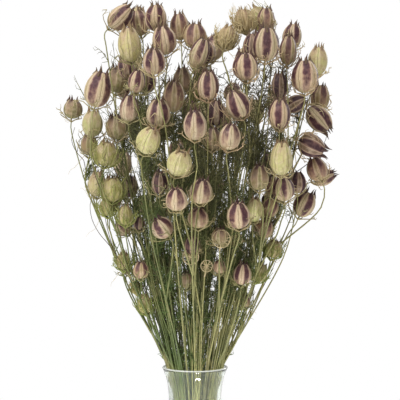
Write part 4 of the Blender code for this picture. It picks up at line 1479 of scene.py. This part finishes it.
def vase_piece():
    foot, lip = VASE_OUTSIDE[0][1], VASE_OUTSIDE[-1][1]
    outside = smooth_line([(r, 0, z) for z, r in VASE_OUTSIDE[1:]], 1.0)[:-1]
    outside = outside[outside[:, 2] < LIP_HEIGHT - 1.2]
    outside = np.array([spot for k, spot in enumerate(outside)
                        if spot[2] > FINE_ABOVE or k % COARSE_STEP == 0])
    inside = outside[outside[:, 2] > VASE_FLOOR + 5][::-1] - (VASE_WALL, 0, 0)
    profile = np.vstack([
        (0, 0, 0), [(foot + across, 0, up) for across, up in BASE_EDGE],
        outside, [(lip + across, 0, LIP_HEIGHT + up) for across, up in LIP_ROUND],
        inside, [(inside[-1][0] + across, 0, VASE_FLOOR + up) for across, up in WELL], (0, 0, VASE_FLOOR),
    ])
    bm = bmesh.new()
    points = [bm.verts.new(Vector(p) * MM) for p in profile]
    edges = [bm.edges.new(pair) for pair in zip(points, points[1:])]
    bmesh.ops.spin(bm, geom=points + edges, cent=(0, 0, 0), axis=(0, 0, 1), dvec=(0, 0, 0),
                   angle=2 * math.pi, steps=VASE_STEPS, use_merge=True)
    bmesh.ops.remove_doubles(bm, verts=bm.verts, dist=MERGE)
    bmesh.ops.recalc_face_normals(bm, faces=bm.faces)
    mesh = mesh_from(bm, "glass_vase")
    mesh.shade_smooth()
    mesh.materials.append(glass)
    return placed("glass_vase", mesh)


vase = vase_piece()
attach(vase, "root")
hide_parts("vase")
vase.visible_shadow = False
print(len(vase.data.polygons), "faces in the vase")

# %% [markdown]
# ## Floor and light
#
# The photograph has a plain white ground and soft light from all round, a little stronger from above
# and in front. The world is white to look at, also through the glass, and dimmer as a light and in
# reflections, so that the inside of the bunch stays dark and the glass stays clear. Large soft lamps
# stand in front, above and behind, and a small flat one low in front is the bright spot on the glass.

# %% Floor, world and lamps
FLOOR_RADIUS = 0.95
ROOM_LIGHT = 0.37


def floor_material():
    material, tree, shader = new_material("pale_floor")
    patch = noise(tree, (1, 1, 1), 3.0)
    colour = blend(tree, ramp(tree, patch, 0.3, 0.7), linear(250, 250, 249), linear(246, 246, 245))
    put(tree, shader.inputs["Base Color"], colour)
    shader.inputs["Roughness"].default_value = 0.9
    return material


bm = bmesh.new()
bmesh.ops.create_circle(bm, cap_ends=True, segments=128, radius=FLOOR_RADIUS)
floor = placed("floor", mesh_from(bm, "floor"))
floor.data.materials.append(floor_material())

world = bpy.data.worlds.new("studio")
world.use_nodes = True
tree = world.node_tree
path = tree.nodes.new("ShaderNodeLightPath")
dim = maths(tree, "MAXIMUM", path.outputs["Is Diffuse Ray"], path.outputs["Is Glossy Ray"])
room = blend(tree, dim, (1.0, 1.0, 1.0), (ROOM_LIGHT,) * 3)
put(tree, tree.nodes["Background"].inputs["Color"], room)
bpy.context.scene.world = world
bpy.context.scene.view_settings.view_transform = "Standard"


def lamp(name, power, size, place, target, height=None):
    """A soft lamp at a place, turned to a target, square or a flat oval."""
    data = bpy.data.lights.new(name, "AREA")
    data.energy = power
    data.size = size
    if height:
        data.shape = "ELLIPSE"
        data.size_y = height
    made = placed(name, data)
    made.location = place
    made.rotation_euler = (Vector(target) - Vector(place)).to_track_quat("-Z", "Y").to_euler()
    made.visible_camera = False


SPOT_ACROSS = 2.4
SPOT_HEIGHT = 192.5
SPARK_AWAY = 250.0


def mirrored(across, height):
    """The point of the vase's outside that shows there, and the way that the eye's ray leaves it."""
    outline = smooth_line([(r, 0, z) for z, r in VASE_OUTSIDE[1:]], 1.0)
    radius, above = np.interp((height, height + 1), outline[:, 2], outline[:, 0])
    place = np.array([across, -math.sqrt(radius**2 - across**2), height])
    normal = unit(np.array([place[0] / radius, place[1] / radius, radius - above]))
    view = unit(eye_spot - place)
    return Vector(place), Vector(2 * (normal @ view) * normal - view)


lamp("key_light", 20.0, 0.8, (-0.75, -1.15, 1.20), (0, 0, 0.35))
lamp("top_light", 30.0, 2.4, (0, 0, 2.3), (0, 0, 0))
lamp("back_light", 11.0, 0.8, (0.9, 1.1, 0.9), (0, 0, 0.35))
spot, ray = mirrored(SPOT_ACROSS, SPOT_HEIGHT)
lamp("spark", 0.36, 0.085, (spot + ray * SPARK_AWAY) * MM, spot * MM, 0.020)
